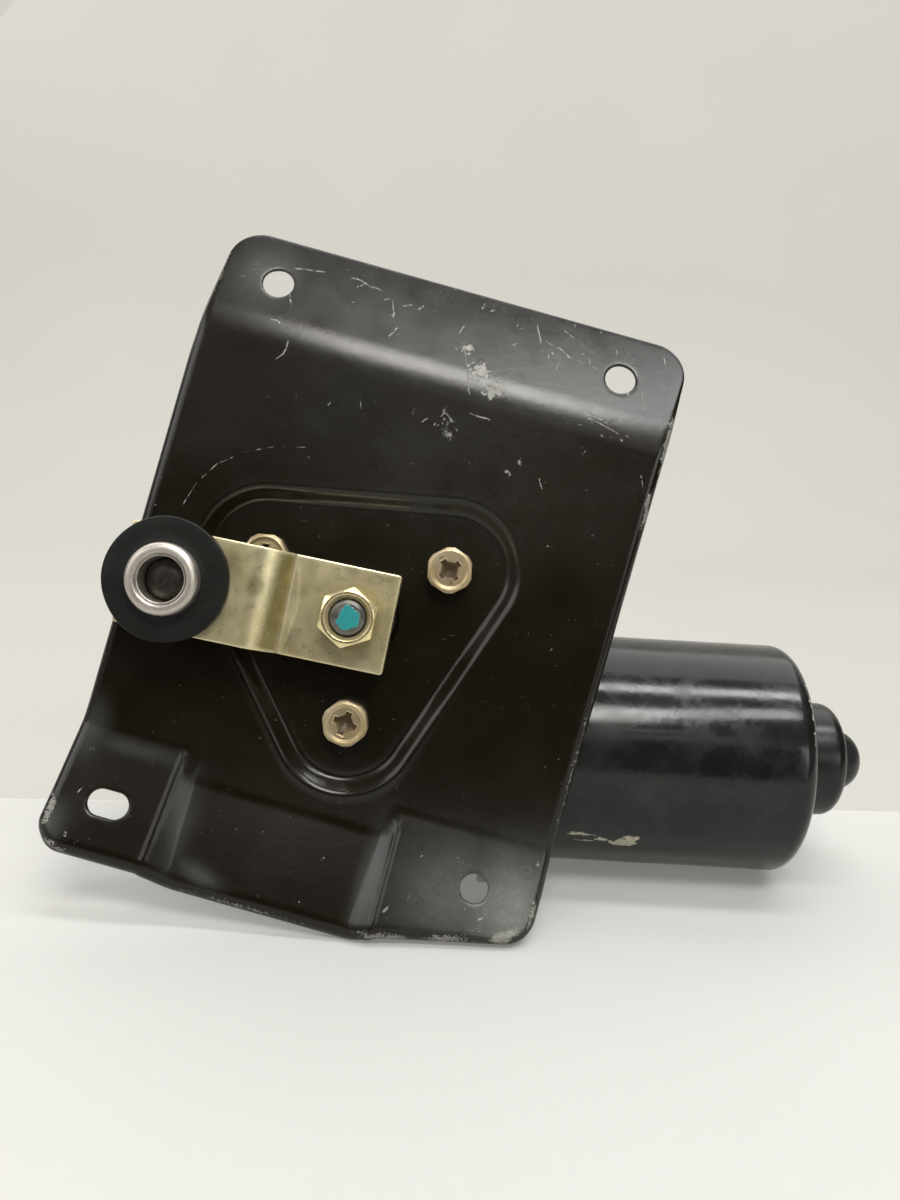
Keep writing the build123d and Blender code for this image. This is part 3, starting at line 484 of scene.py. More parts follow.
def shaft_mat():
    n = Net("shaft_end")
    v, x, y, z = n.local(CRANK)
    mid = n.noise(420, 5, 0.65, seed=301)
    fine = n.noise(2200, 3, 0.6, seed=302)
    steel = n.mix(n.fit(mid, 0.3, 0.7, 0, 1), (0.12, 0.118, 0.105), (0.23, 0.222, 0.20))
    # dab of teal marking paint on the end face
    # rounded wedge: a disc cut by two slanted lines, with a rough edge
    wob = n.math('MULTIPLY', n.math('SUBTRACT', n.noise(230, 4, 0.65, seed=303), 0.5), 3.0)
    d = n.math('SQRT', n.math('ADD', n.math('POWER', n.math('SUBTRACT', x, 0.2), 2.0),
                              n.math('POWER', n.math('SUBTRACT', y, -0.1), 2.0)))
    d = n.math('SUBTRACT', d, 2.85)
    h1 = n.math('SUBTRACT', n.math('ADD', n.math('MULTIPLY', x, 0.93), n.math('MULTIPLY', y, -0.36)), 1.9)
    h2 = n.math('SUBTRACT', n.math('ADD', n.math('MULTIPLY', x, -0.55), n.math('MULTIPLY', y, -0.83)), 2.4)
    d = n.math('MAXIMUM', d, n.math('MAXIMUM', h1, h2))
    dab = n.step(n.math('ADD', d, wob), 0.12, -0.12)
    top = n.step(z, 14.2, 14.3)
    dab = n.math('MULTIPLY', dab, top)
    teal = n.mix(n.fit(fine, 0.3, 0.7, 0, 1), (0.003, 0.135, 0.135), (0.008, 0.215, 0.21))
    grime = n.math('MULTIPLY', n.step(mid, 0.52, 0.70), 0.7)
    steel = n.mix(grime, steel, (0.045, 0.035, 0.02))
    base = n.mix(dab, steel, teal)
    nrm = n.bump(fine, 0.00002, 0.5)
    nrm = n.bump(dab, 0.00008, 0.7, nrm)
    return n.set(base=base, rough=n.mixf(dab, n.fit(mid, 0.3, 0.7, 0.3, 0.5), 0.42),
                 metal=n.mixf(dab, 0.85, 0.0), normal=nrm)


M["shaft"] = shaft_mat()

# ------------------------------------------------------------ bracket sheet --
V_TOP, V_PAD, V_CH = 62.0, -42.3, -49.3
DEPTH = 2.6
SHEET = 1.6


def ramp(x, h):
    """Integral of a step, rounded over +-h."""
    x = np.asarray(x, float)
    return np.where(x < -h, 0.0, np.where(x > h, x, (x + h) ** 2 / (4 * h)))


def soft(t, k=0.16):
    """Linear 0..1 with rounded ends."""
    t = np.asarray(t, float)
    a = ramp(t, k)
    return a - ramp(t - 1.0, k)


TRI = np.array([[SCREW_R * math.cos(math.radians(a)), SCREW_R * math.sin(math.radians(a))] for a in SCREW_ANG])


def tri_dist(u, v):
    """Distance outside the triangle of the three screws, 0 inside."""
    best = np.full(np.shape(u), 1e9)
    inside = np.ones(np.shape(u), bool)
    for i in range(3):
        a, b = TRI[i], TRI[(i + 1) % 3]
        d = b - a
        t = np.clip(((u - a[0]) * d[0] + (v - a[1]) * d[1]) / (d @ d), 0, 1)
        px, py = a[0] + t * d[0], a[1] + t * d[1]
        best = np.minimum(best, np.hypot(u - px, v - py))
        inside &= (d[0] * (v - a[1]) - d[1] * (u - a[0])) > 0
    return np.where(inside, 0.0, best)


def front_height(u, v):
    """Height of the bracket's front face over the main panel, without the rim."""
    u, v = np.asarray(u, float), np.asarray(v, float)
    top = -TT * ramp(v - V_TOP, 4.6)
    pad = TT * ramp(V_PAD - v, 1.0)
    ch = TT * ramp(V_CH - v, 1.3)
    down = np.clip((-43.0 - v) / 27.0, 0, 1)
    # left wall, from the channel floor (right) up to the pad (left)
    l0, l1 = -26.4 + 1.9 * down, -30.3 - 0.8 * down
    ml = soft((u - l0) / (l1 - l0), 0.14)
    r0, r1 = 21.3 - 2.6 * down, 24.1 + 0.2 * down
    mr = soft((u - r0) / (r1 - r0), 0.14)
    m = np.maximum(ml, mr)
    w = top + ch + (pad - ch) * m
    # small bead along the crest of the right wall
    bead = np.exp(-((u - (r1 + 0.3)) / 0.66) ** 2) * 0.36 * np.clip((-44.5 - v) / 3, 0, 1)
    bead += np.exp(-((u - (l1 - 0.45)) / 0.75) ** 2) * 0.24 * np.clip((-42.3 - v) / 1.6, 0, 1)
    bead -= np.exp(-((u - l0) / 0.8) ** 2) * 0.10 * np.clip((-43.5 - v) / 4, 0, 1)
    w = w + bead
    d = tri_dist(u, v)
    rec = soft((17.1 - d) / 2.8, 0.34)
    low = np.clip((14.0 - v) / 40.0, 0.25, 1.0)
    swell = (np.exp(-((d - 17.7) / 1.1) ** 2) * 0.15 - np.exp(-((d - 13.8) / 1.0) ** 2) * 0.10) * low
    w = w - DEPTH * rec + swell
    return w


def fillet_poly(pts, radii, step=0.7):
    """Closed polygon with rounded corners, sampled at about step mm."""
    n = len(pts)
    out = []
    P = [np.array(p, float) for p in pts]
    tans = []
    for i in range(n):
        a, b, c = P[i - 1], P[i], P[(i + 1) % n]
        d0, d1 = a - b, c - b
        d0n, d1n = d0 / np.linalg.norm(d0), d1 / np.linalg.norm(d1)
        ang = math.acos(max(-1, min(1, float(d0n @ d1n))))
        t = radii[i] / math.tan(ang / 2)
        t = min(t, 0.49 * np.linalg.norm(d0), 0.49 * np.linalg.norm(d1))
        r = t * math.tan(ang / 2)
        bis = (d0n + d1n)
        bis = bis / np.linalg.norm(bis)
        cen = b + bis * (r / math.sin(ang / 2))
        tans.append((b + d0n * t, b + d1n * t, cen, r))
    for i in range(n):
        s, e, cen, r = tans[i]
        a0 = math.atan2(*(s - cen)[::-1])
        a1 = math.atan2(*(e - cen)[::-1])
        da = (a1 - a0 + math.pi) % (2 * math.pi) - math.pi
        k = max(2, int(abs(da) * r / step))
        for j in range(k + 1):
            a = a0 + da * j / k
            out.append(cen + r * np.array([math.cos(a), math.sin(a)]))
        s2 = tans[(i + 1) % n][0]
        L = np.linalg.norm(s2 - e)
        k = max(1, int(L / step))
        for j in range(1, k):
            out.append(e + (s2 - e) * j / k)
    keep = [out[0]]
    for p in out[1:]:
        if np.linalg.norm(p - keep[-1]) > 0.05:
            keep.append(p)
    if np.linalg.norm(keep[0] - keep[-1]) < 0.05:
        keep.pop()
    return np.array(keep)


OUTLINE = [(-58.1, -58.0), (-57.2, -38.0), (-56.6, 52.0), (-54.6, 86.5), (63.2, 86.5), (62.9, 52.0),
           (62.4, -52.0), (61.9, -64.0), (27.0, -71.9), (19.5, -74.5), (-24.5, -74.5), (-32.5, -72.6),
           (-59.0, -72.6)]
OUT_R = [40, 60, 80, 8.5, 8.5, 80, 30, 7.5, 12, 10, 8, 8, 8.5]


def inward(poly):
    nxt, prv = np.roll(poly, -1, 0), np.roll(poly, 1, 0)
    t = nxt - prv
    t /= np.linalg.norm(t, axis=1)[:, None]
    return np.stack([t[:, 1], -t[:, 0]], 1)      # right of travel for a clockwise outline


def smooth_noise(u, v, seed, size):
    """Cheap smooth random field from a few seeded waves."""
    rng = np.random.default_rng(seed)
    s = np.zeros(np.shape(u))
    for _ in range(7):
        a = rng.uniform(0, 2 * math.pi)
        k = 2 * math.pi / (size * rng.uniform(0.7, 1.6))
        s = s + np.sin(k * (u * math.cos(a) + v * math.sin(a)) + rng.uniform(0, 7))
    return s / 7


def seg_dist(u, v, segs):
    d = np.full(np.shape(u), 9.0)
    for (x0, y0, x1, y1, w) in segs:
        a, b = np.array([x0, y0]), np.array([x1, y1])
        e = b - a
        t = np.clip(((u - a[0]) * e[0] + (v - a[1]) * e[1]) / (e @ e), 0, 1)
        d = np.minimum(d, np.hypot(u - a[0] - t * e[0], v - a[1] - t * e[1]) - w)
    return np.clip(d, -1, 6)


def blob(u, v, items):
    m = np.zeros(np.shape(u))
    for (x, y, rx, ry, ang, k) in items:
        c, s = math.cos(math.radians(ang)), math.sin(math.radians(ang))
        dx, dy = u - x, v - y
        q = ((dx * c + dy * s) / rx) ** 2 + ((-dx * s + dy * c) / ry) ** 2
        m = np.maximum(m, k * np.exp(-q * 1.2))
    return m


# scratches on the bracket: ends in (u, v) and extra half width
SCR = [(-33.6, 60.4, -33.9, 57.0, 0.02), (-33.9, 57.0, -35.1, 55.6, 0.0),
       (-38.3, 79.6, -31.0, 80.8, 0.0), (-37.5, 73.0, -35.6, 69.0, 0.0),
       (-25.5, 81.5, -14.0, 80.0, 0.0), (-12.4, 78.3, -11.0, 74.0, 0.0),
       (8.0, 72.0, 12.5, 60.0, 0.0), (24.0, 82.5, 27.0, 76.0, 0.0), (27.0, 79.0, 38.0, 75.5, 0.0),
       (29.0, 84.0, 40.0, 79.0, -0.08), (53.0, 73.0, 55.0, 68.0, 0.0),
       (42.0, 62.5, 50.0, 60.5, 0.0), (40.5, 63.5, 47.0, 62.5, 0.05),
       (58.0, 52.0, 61.0, 47.0, 0.0), (34.5, 45.0, 35.7, 42.5, 0.05), (14.0, 55.5, 19.0, 55.0, 0.03),
       (8.0, 54.5, 12.0, 50.5, 0.0)]
ARC = [(-47.5 + 0.0, 15.0), (-45.8, 21.0), (-42.2, 26.8), (-36.5, 31.5), (-30.0, 34.6), (-22.5, 36.6)]
CHIPS = [(13.5, 66.5, 4.5, 4.5, 30, 0.95), (18.0, 62.5, 4.4, 3.6, 10, 0.95), (8.5, 71.0, 4.0, 3.0, 20, 0.80),
         (9.5, 52.8, 4.5, 2.6, 60, 0.72), (29.0, 47.3, 1.6, 1.6, 0, 0.85), (26.8, 44.0, 1.2, 1.6, 0, 0.8),
         (36.0, 78.0, 9.0, 5.0, -20, 0.52), (46.0, 68.0, 7.0, 4.0, -10, 0.45), (44.0, 62.0, 5.0, 1.6, -8, 0.62),
         (-33.0, 80.0, 8.0, 3.0, 0, 0.42), (-20.0, 78.0, 12.0, 3.0, -5, 0.34), (57.0, 78.0, 4.0, 6.0, 0, 0.5),
         (0.0, 80.0, 20.0, 3.0, 0, 0.30), (61.0, 55.0, 1.5, 14.0, 0, 0.55), (30.0, 60.5, 8.0, 1.5, 0, 0.4),
         (42.5, -52.5, 1.2, 1.2, 0, 0.5)]
# small bright nicks, mostly along the rolled rim
NICKS = [(27.9, -70.4, 8.5, 1.5, 8, 1.0), (41.9, -67.2, 8.5, 1.4, 12, 0.95), (55.4, -63.0, 5.0, 2.2, 36, 1.0),
         (48.0, -63.6, 4.0, 0.8, 14, 0.7), (-6.0, -73.0, 22.0, 1.2, 0, 0.7), (60.6, -56.6, 1.2, 5.0, 0, 0.9),
         (61.6, -20.0, 0.8, 34.0, 0, 0.62), (61.8, 44.0, 0.9, 9.0, 0, 0.9), (62.4, 62.0, 1.4, 9.0, 0, 0.95),
         (-56.6, -63.0, 1.6, 6.0, 0, 0.85), (-52.5, -70.6, 7.0, 1.4, -14, 0.8), (-56.4, -10.0, 0.8, 50.0, 0, 0.55),
         (-54.9, 76.0, 0.9, 12.0, 0, 0.62), (31.3, -60.5, 0.5, 1.1, 10, 0.8), (34.0, -62.0, 0.9, 0.4, 30, 0.75),
         (26.8, -64.3, 1.8, 0.8, 50, 0.78), (27.6, -66.0, 0.7, 1.4, 20, 0.72), (40.6, -49.6, 0.8, 2.4, 25, 0.55), (42.0, -50.4, 0.7, 2.0, 20, 0.5), (37.3, -54.0, 1.2, 0.8, 0, 0.5),
         (-51.9, -47.8, 0.4, 0.9, 20, 0.75), (-41.4, -45.9, 0.5, 0.7, 0, 0.75),
         (-40.2, -48.4, 0.45, 1.6, 8, 0.8), (-39.6, -50.6, 0.6, 0.8, 0, 0.75), (8.6, -58.0, 0.9, 0.5, 0, 0.7), (-6.9, -56.2, 0.5, 0.7, 0, 0.75),
         (-3.0, -69.4, 0.5, 0.6, 0, 0.75), (6.2, -68.4, 0.5, 1.4, 0, 0.75), (59.6, -46.0, 0.7, 2.2, 0, 0.75),
         (-50.6, -67.6, 0.5, 1.8, 30, 0.75), (10.0, 49.0, 2.0, 3.2, 60, 0.72), (0.0, 86.0, 46.0, 0.6, 0, 0.5)]
DUST = [(56.0, -57.0, 13.0, 12.0, 12, 1.0), (42.0, -58.0, 15.0, 12.0, 12, 0.50), (-18.0, -68.8, 6.0, 2.2, -16, 0.26),
        (-56.0, -66.5, 4.0, 5.5, 0, 0.36), (-26.0, -60.0, 3.5, 12.0, 0, 0.12), (21.0, -60.0, 3.0, 13.0, 0, 0.25),
        (12.0, 40.0, 60.0, 24.0, 0, 0.06), (0.0, 74.0, 70.0, 12.0, 0, 0.13), (30.0, 72.0, 30.0, 10.0, 0, 0.22),
        (-44.0, 76.0, 9.0, 9.0, 0, 0.36),
        (-42.0, -45.4, 13.0, 1.8, 0, 0.16), (-54.5, -43.0, 4.5, 7.0, 0, 0.24)]


def points_in_poly(p, poly):
    x, y = p[:, 0], p[:, 1]
    c = np.zeros(len(p), bool)
    x0, y0 = poly[:, 0], poly[:, 1]
    x1, y1 = np.roll(x0, -1), np.roll(y0, -1)
    for i in range(len(poly)):
        if y0[i] == y1[i]:
            continue
        cond = (y0[i] > y) != (y1[i] > y)
        xi = x0[i] + (y - y0[i]) / (y1[i] - y0[i]) * (x1[i] - x0[i])
        c ^= cond & (x < xi)
    return c


HOLES = [(-40.8, 74.4, 3.78, 0.0), (47.5, 74.4, 3.78, 0.0), (45.8, -54.9, 3.38, 0.0), (-43.9, -58.8, 3.15, 1.75)]
COST = math.cos(TILT)


def hole_loop(x, y, r, half, off, n=64, flat=False):
    k = 1.0 if flat else COST
    if half == 0:
        a = np.linspace(0, 2 * math.pi, n, endpoint=False)
        return np.stack([x + np.cos(a) * (r + off), y + np.sin(a) * (r + off) * k], 1)
    # slot: two half circles joined by divided straight runs
    a = np.linspace(-math.pi / 2, math.pi / 2, n // 2 + 1)
    t = np.linspace(half, -half, 12)[1:-1]
    px = np.concatenate([half + np.cos(a) * (r + off), t, -half - np.cos(a) * (r + off), -t])
    py = np.concatenate([np.sin(a) * (r + off), np.full(len(t), r + off), -np.sin(a) * (r + off),
                         np.full(len(t), -r - off)]) * k
    return np.stack([x + px, y + py], 1)


def build_bracket():
    rng = np.random.default_rng(5)
    rim = fillet_poly(OUTLINE, OUT_R, 0.75)
    area = 0.5 * np.sum(rim[:, 0] * np.roll(rim[:, 1], -1) - np.roll(rim[:, 0], -1) * rim[:, 1])
    if area > 0:
        rim = rim[::-1]
    inn = inward(rim)
    for _ in range(3):
        inn = inn + np.roll(inn, 1, 0) + np.roll(inn, -1, 0)
        inn /= np.linalg.norm(inn, axis=1)[:, None]
    v = rim[:, 1]
    low = np.clip((-66 - v) / 4, 0, 1)
    high = np.clip((v - 56) / 26, 0, 1)
    R = 2.4 + 1.7 * low - 2.05 * high
    lipd = 5.2 * (1 - high) + 1.75 * high
    N = len(rim)
    angs = [0, 10, 22, 36, 52, 70, 90]
    P, Z = [], []
    for a in angs:
        e = R * (1 - math.cos(math.radians(a)))
        P.append(rim + inn * e[:, None])
        Z.append(-R * (1 - math.sin(math.radians(a))))
    inner = P[-1]
    pts = [inner]
    dz = [np.zeros(N)]
    loops = [(0, N)]
    cnt = N
    holes = []
    circles = []
    for (x, y, r, half) in HOLES:
        for off, d in ((0.0, -0.62), (0.10, -0.30), (0.30, -0.09), (0.55, -0.02), (0.95, 0.0)):
            q = hole_loop(x, y, r, half, off)
            if off == 0.0:
                loops.append((cnt, len(q)))
                holes.append(q)
            pts.append(q)
            dz.append(np.full(len(q), d))
            cnt += len(q)
        circles.append((x, y, r + 1.3, half))
    q = hole_loop(0, 0, 10.5, 0, 0, 96, True)
    loops.append((cnt, len(q)))
    holes.append(q)
    pts.append(q)
    dz.append(np.full(len(q), -0.1))
    cnt += len(q)
    circles.append((0, 0, 10.9, 0))
    for a in SCREW_ANG:
        x, y = SCREW_R * math.cos(math.radians(a)), SCREW_R * math.sin(math.radians(a))
        q = hole_loop(x, y, 3.3, 0, 0, 40, True)
        loops.append((cnt, len(q)))
        holes.append(q)
        pts.append(q)
        dz.append(np.full(len(q), -0.1))
        cnt += len(q)
        circles.append((x, y, 3.7, 0))
    # field points: a fine staggered grid, plus points along the scratches
    s = 0.68
    gu, gv = np.meshgrid(np.arange(-60, 65, s), np.arange(-76, 88, s * 0.866))
    gu = gu + (np.arange(gv.shape[0])[:, None] % 2) * s / 2
    g = np.stack([gu.ravel(), gv.ravel()], 1)

    def busy(q):
        x, y = q[:, 0], q[:, 1]
        return (((np.abs(x + 28.8) < 4.6) | (np.abs(x - 22.0) < 5.0)) & (y < -39.0)) | \
            (np.abs(tri_dist(x, y) - 15.8) < 2.9)

    s2 = 0.38
    fu, fv = np.meshgrid(np.arange(-46, 46, s2), np.arange(-76, 46, s2 * 0.866))
    fu = fu + (np.arange(fv.shape[0])[:, None] % 2) * s2 / 2
    fine = np.stack([fu.ravel(), fv.ravel()], 1)
    rows = []
    for v in np.arange(-75.5, -39.0, 0.62):
        dn = float(np.clip((-43.0 - v) / 27.0, 0, 1))
        rows += [(-30.3 - 0.8 * dn + k * 0.29, v) for k in range(-9, 23)]
        rows += [(24.1 + 0.2 * dn + k * 0.29, v) for k in range(-22, 10)]
    rows = np.array(rows)

    def inrows(q):
        dn = np.clip((-43.0 - q[:, 1]) / 27.0, 0, 1)
        a, b = q[:, 0] - (-30.3 - 0.8 * dn), q[:, 0] - (24.1 + 0.2 * dn)
        return (((a > -2.8) & (a < 6.6)) | ((b > -6.6) & (b < 2.8))) & (q[:, 1] < -39.0)

    fine = fine[busy(fine) & ~inrows(fine)]
    g = np.concatenate([g[~busy(g)], fine, rows])
    extra = []
    for (x0, y0, x1, y1, w) in SCR_ALL:
        L = math.hypot(x1 - x0, y1 - y0)
        nx, ny = -(y1 - y0) / L, (x1 - x0) / L
        for t in np.linspace(0, 1, max(2, int(L / 0.45))):
            for o in (-0.32, 0.0, 0.32):
                extra.append((x0 + (x1 - x0) * t + nx * o, y0 + (y1 - y0) * t + ny * o))
    extra = np.array(extra)
    # thin the grid near the scratch points
    cell = {}
    for p in extra:
        cell.setdefault((int(p[0] // 0.5), int(p[1] // 0.5)), 1)
    near = np.array([(int(p[0] // 0.5), int(p[1] // 0.5)) in cell for p in g])
    g = g[~near]
    g = np.concatenate([g, extra])
    ok = points_in_poly(g, inner)
    d = np.full(len(g), 9.0)
    for k in range(0, N):
        a, b = inner[k], inner[(k + 1) % N]
        m = (np.abs(g[:, 0] - a[0]) < 2.5) & (np.abs(g[:, 1] - a[1]) < 2.5)
        if m.any():
            q = g[m]
            e = b - a
            t = np.clip(((q[:, 0] - a[0]) * e[0] + (q[:, 1] - a[1]) * e[1]) / (e @ e), 0, 1)
            d[m] = np.minimum(d[m], np.hypot(q[:, 0] - a[0] - t * e[0], q[:, 1] - a[1] - t * e[1]))
    ok &= d > 0.4
    for (x, y, r, half) in circles:
        dx = np.abs(g[:, 0] - x) - half
        dx = np.where(dx < 0, 0, dx)
        k = 1.0 if (half == 0 and (r in (11.9, 3.7))) else COST
        ok &= np.hypot(dx, (g[:, 1] - y) / k) > r
    g = g[ok]
    pts.append(g)
    dz.append(np.zeros(len(g)))
    allp = np.concatenate(pts)
    alld = np.concatenate(dz)
    edges = []
    for (st, n) in loops:
        edges += [(st + i, st + (i + 1) % n) for i in range(n)]
    vs, es, fs, ov, oe, of_ = delaunay_2d_cdt([Vector(p) for p in allp], edges, [], 0, 1e-5)
    vs = np.array([list(p) for p in vs])
    dd = np.zeros(len(vs))
    src = [o[0] if len(o) else -1 for o in ov]
    for i, o in enumerate(src):
        if o >= 0:
            dd[i] = alld[o]
    fs = np.array([list(f) for f in fs if len(f) == 3])
    cen = vs[fs].mean(1)
    keep = points_in_poly(cen, inner)
    for q in holes:
        lo, hi = q.min(0), q.max(0)
        m = keep & (cen[:, 0] > lo[0]) & (cen[:, 0] < hi[0]) & (cen[:, 1] > lo[1]) & (cen[:, 1] < hi[1])
        idx = np.where(m)[0]
        keep[idx[points_in_poly(cen[idx], q)]] = False
    fs = fs[keep]
    # anticlockwise seen from the front
    a = vs[fs]
    cr = (a[:, 1, 0] - a[:, 0, 0]) * (a[:, 2, 1] - a[:, 0, 1]) - (a[:, 1, 1] - a[:, 0, 1]) * (a[:, 2, 0] - a[:, 0, 0])
    fs[cr < 0] = fs[cr < 0][:, ::-1]
    # index of every inner rim point in the result
    where = {o: i for i, o in enumerate(src) if 0 <= o < N}
    for i, o in enumerate(ov):
        for k in o:
            if k < N:
                where[k] = i
    wz = front_height(vs[:, 0], vs[:, 1]) + dd
    co = [(x, y, z) for (x, y), z in zip(vs, wz)]
    uv = [tuple(p) for p in vs]
    lipv = [0.0] * len(vs)
    faces = [tuple(f) for f in fs]
    prev = [where[i] for i in range(N)]
    hz = front_height(inner[:, 0], inner[:, 1])
    for k in range(len(angs) - 2, -1, -1):
        st = len(co)
        f = front_height(P[k][:, 0], P[k][:, 1])
        t = angs[k] / 90.0
        for i in range(N):
            co.append((P[k][i, 0], P[k][i, 1], f[i] * (1 - t) * 0 + f[i] + Z[k][i]))
            uv.append(tuple(P[k][i]))
            lipv.append(1 - abs(t - 0.35) * 0.75)
        cur = list(range(st, st + N))
        for i in range(N):
            j = (i + 1) % N
            faces.append((prev[i], prev[j], cur[j], cur[i]))
        prev = cur
    f = front_height(rim[:, 0], rim[:, 1])
    wob = smooth_noise(rim[:, 0], rim[:, 1], 3, 14.0) * 0.25 * (1 - high)
    for tt in (0.5, 1.0):
        st = len(co)
        for i in range(N):
            zz = f[i] - R[i] + (-(lipd[i] + wob[i]) + R[i]) * tt
            co.append((rim[i, 0], rim[i, 1], min(zz, f[i] - R[i] - 0.3 * tt)))
            uv.append(tuple(rim[i]))
            lipv.append(0.6)
        cur = list(range(st, st + N))
        for i in range(N):
            j = (i + 1) % N
            faces.append((prev[i], prev[j], cur[j], cur[i]))
        prev = cur
    co = np.array(co)
    uv = np.array(uv)
    me = bpy.data.meshes.new("bracket_sheet")
    me.from_pydata([tuple(p) for p in bake(co, PANEL)], [], [tuple(map(int, q)) for q in faces])
    me.update()
    u, w = uv[:, 0], uv[:, 1]
    jag = smooth_noise(u, w, 11, 3.0) * 0.5
    data = {
        "scratch": seg_dist(u + smooth_noise(u, w, 12, 5) * 0.35, w + smooth_noise(u, w, 13, 5) * 0.35, SCR_ALL),
        "chip": blob(u + smooth_noise(u, w, 14, 6), w + smooth_noise(u, w, 15, 6), CHIPS) + jag * 0.12,
        "nick": blob(u + smooth_noise(u, w, 18, 4) * 0.6, w + smooth_noise(u, w, 19, 4) * 0.5, NICKS),
        "dust": np.clip(blob(u, w, DUST) + smooth_noise(u, w, 16, 20) * 0.02, 0, 1),
        "lip": np.array(lipv),
        }
    for k, d in data.items():
        at = me.attributes.new(k, 'FLOAT', 'POINT')
        at.data.foreach_set("value", np.asarray(d, np.float32))
    o = bpy.data.objects.new("bracket_sheet", me)
    bpy.context.scene.collection.objects.link(o)
    for p in me.polygons:
        p.use_smooth = True
    me.materials.append(M["bracket"])
    me.materials.append(M["bracket_back"])
    so = o.modifiers.new("thickness", 'SOLIDIFY')
    so.material_offset = 1
    so.material_offset_rim = 1
    so.thickness = SHEET * MM
    so.offset = -1.0
    so.use_quality_normals = True
    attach(o, "frame")
    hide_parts("mounting_plate")
    return o


SCR_ALL = list(SCR)
_r = np.random.default_rng(77)
for (u0, u1, v0, v1, cnt, lmin, lmax, mid) in ((4, 24, 74, 85, 11, 0.5, 3.0, 60), (24, 44, 72, 85, 15, 0.4, 2.0, 105),
                                               (40, 60, 66, 84, 9, 0.4, 2.0, 110), (-30, -4, 68, 84, 9, 0.5, 3.2, 50),
                                               (-52, -34, 62, 84, 7, 0.8, 2.5, 20), (2, 16, 48, 57, 9, 0.5, 1.8, 60),
                                               (36, 56, 58, 63, 10, 0.5, 2.0, 170), (-50, 55, 20, 55, 9, 0.6, 2.2, 80),
                                               (30, 60, -70, -48, 8, 0.4, 1.6, 40), (-55, -34, -70, -44, 8, 0.4, 1.8, 70)):
    for _ in range(cnt):
        x, y = _r.uniform(u0, u1), _r.uniform(v0, v1)
        L = _r.uniform(lmin, lmax)
        a = math.radians(mid + _r.normal(0, 16))
        SCR_ALL.append((x, y, x + L * math.cos(a), y + L * math.sin(a), _r.uniform(-0.12, 0.04)))
SCR_ALL = SCR_ALL + [(ARC[i][0], ARC[i][1], ARC[i + 1][0], ARC[i + 1][1], -0.06) for i in range(len(ARC) - 1)]
build_bracket()


# ------------------------------------------------------------------ slabs --
def slab(outline, radii, top, bottom, rt, rb, s=0.7, step=0.5, sag=None):
    """Closed plate over a rounded outline. top and bottom are heights f(a, b)."""
    rim = fillet_poly(outline, radii, step)
    area = 0.5 * np.sum(rim[:, 0] * np.roll(rim[:, 1], -1) - np.roll(rim[:, 0], -1) * rim[:, 1])
    if area > 0:
        rim = rim[::-1]
    inn = inward(rim)
    for _ in range(2):
        inn = inn + np.roll(inn, 1, 0) + np.roll(inn, -1, 0)
        inn /= np.linalg.norm(inn, axis=1)[:, None]
    N = len(rim)
    co, faces = [], []

    def side(fn, r, sign):
        nonlocal co, faces
        inner = rim + inn * r
        lo, hi = inner.min(0), inner.max(0)
        gu, gv = np.meshgrid(np.arange(lo[0], hi[0], s), np.arange(lo[1], hi[1], s))
        g = np.stack([gu.ravel(), gv.ravel()], 1)
        ok = points_in_poly(g, inner)
        d = np.full(len(g), 9.0)
        for k in range(N):
            d = np.minimum(d, np.hypot(g[:, 0] - inner[k, 0], g[:, 1] - inner[k, 1]))
        g = g[ok & (d > s * 0.6)]
        allp = np.concatenate([inner, g])
        e = [(i, (i + 1) % N) for i in range(N)]
        vs, es, fs, ov, oe, of_ = delaunay_2d_cdt([Vector(p) for p in allp], e, [], 0, 1e-5)
        vs = np.array([list(p) for p in vs])
        fs = np.array([list(f) for f in fs if len(f) == 3])
        cen = vs[fs].mean(1)
        fs = fs[points_in_poly(cen, inner)]
        a = vs[fs]
        cr = (a[:, 1, 0] - a[:, 0, 0]) * (a[:, 2, 1] - a[:, 0, 1]) - (a[:, 1, 1] - a[:, 0, 1]) * (a[:, 2, 0] - a[:, 0, 0])
        flip = cr < 0 if sign > 0 else cr > 0
        fs[flip] = fs[flip][:, ::-1]
        where = {}
        for i, o in enumerate(ov):
            for k in o:
                if k < N:
                    where[k] = i
        base = len(co)
        z = fn(vs[:, 0], vs[:, 1])
        co += [(x, y, zz) for (x, y), zz in zip(vs, z)]
        faces += [tuple(int(i) + base for i in f) for f in fs]
        prev = [where[i] + base for i in range(N)]
        for ang in (66, 44, 22, 0):
            e_ = r * (1 - math.cos(math.radians(ang)))
            p = rim + inn * e_
            z = fn(p[:, 0], p[:, 1]) - sign * r * (1 - math.sin(math.radians(ang)))
            st = len(co)
            co += [(p[i, 0], p[i, 1], z[i]) for i in range(N)]
            for i in range(N):
                j = (i + 1) % N
                q = (prev[i], prev[j], st + j, st + i)
                faces.append(q if sign > 0 else q[::-1])
            prev = list(range(st, st + N))
        return prev

    a = side(top, rt, 1)
    b = side(bottom, rb, -1)
    for i in range(N):
        j = (i + 1) % N
        faces.append((a[i], a[j], b[j], b[i]))
    return co, faces


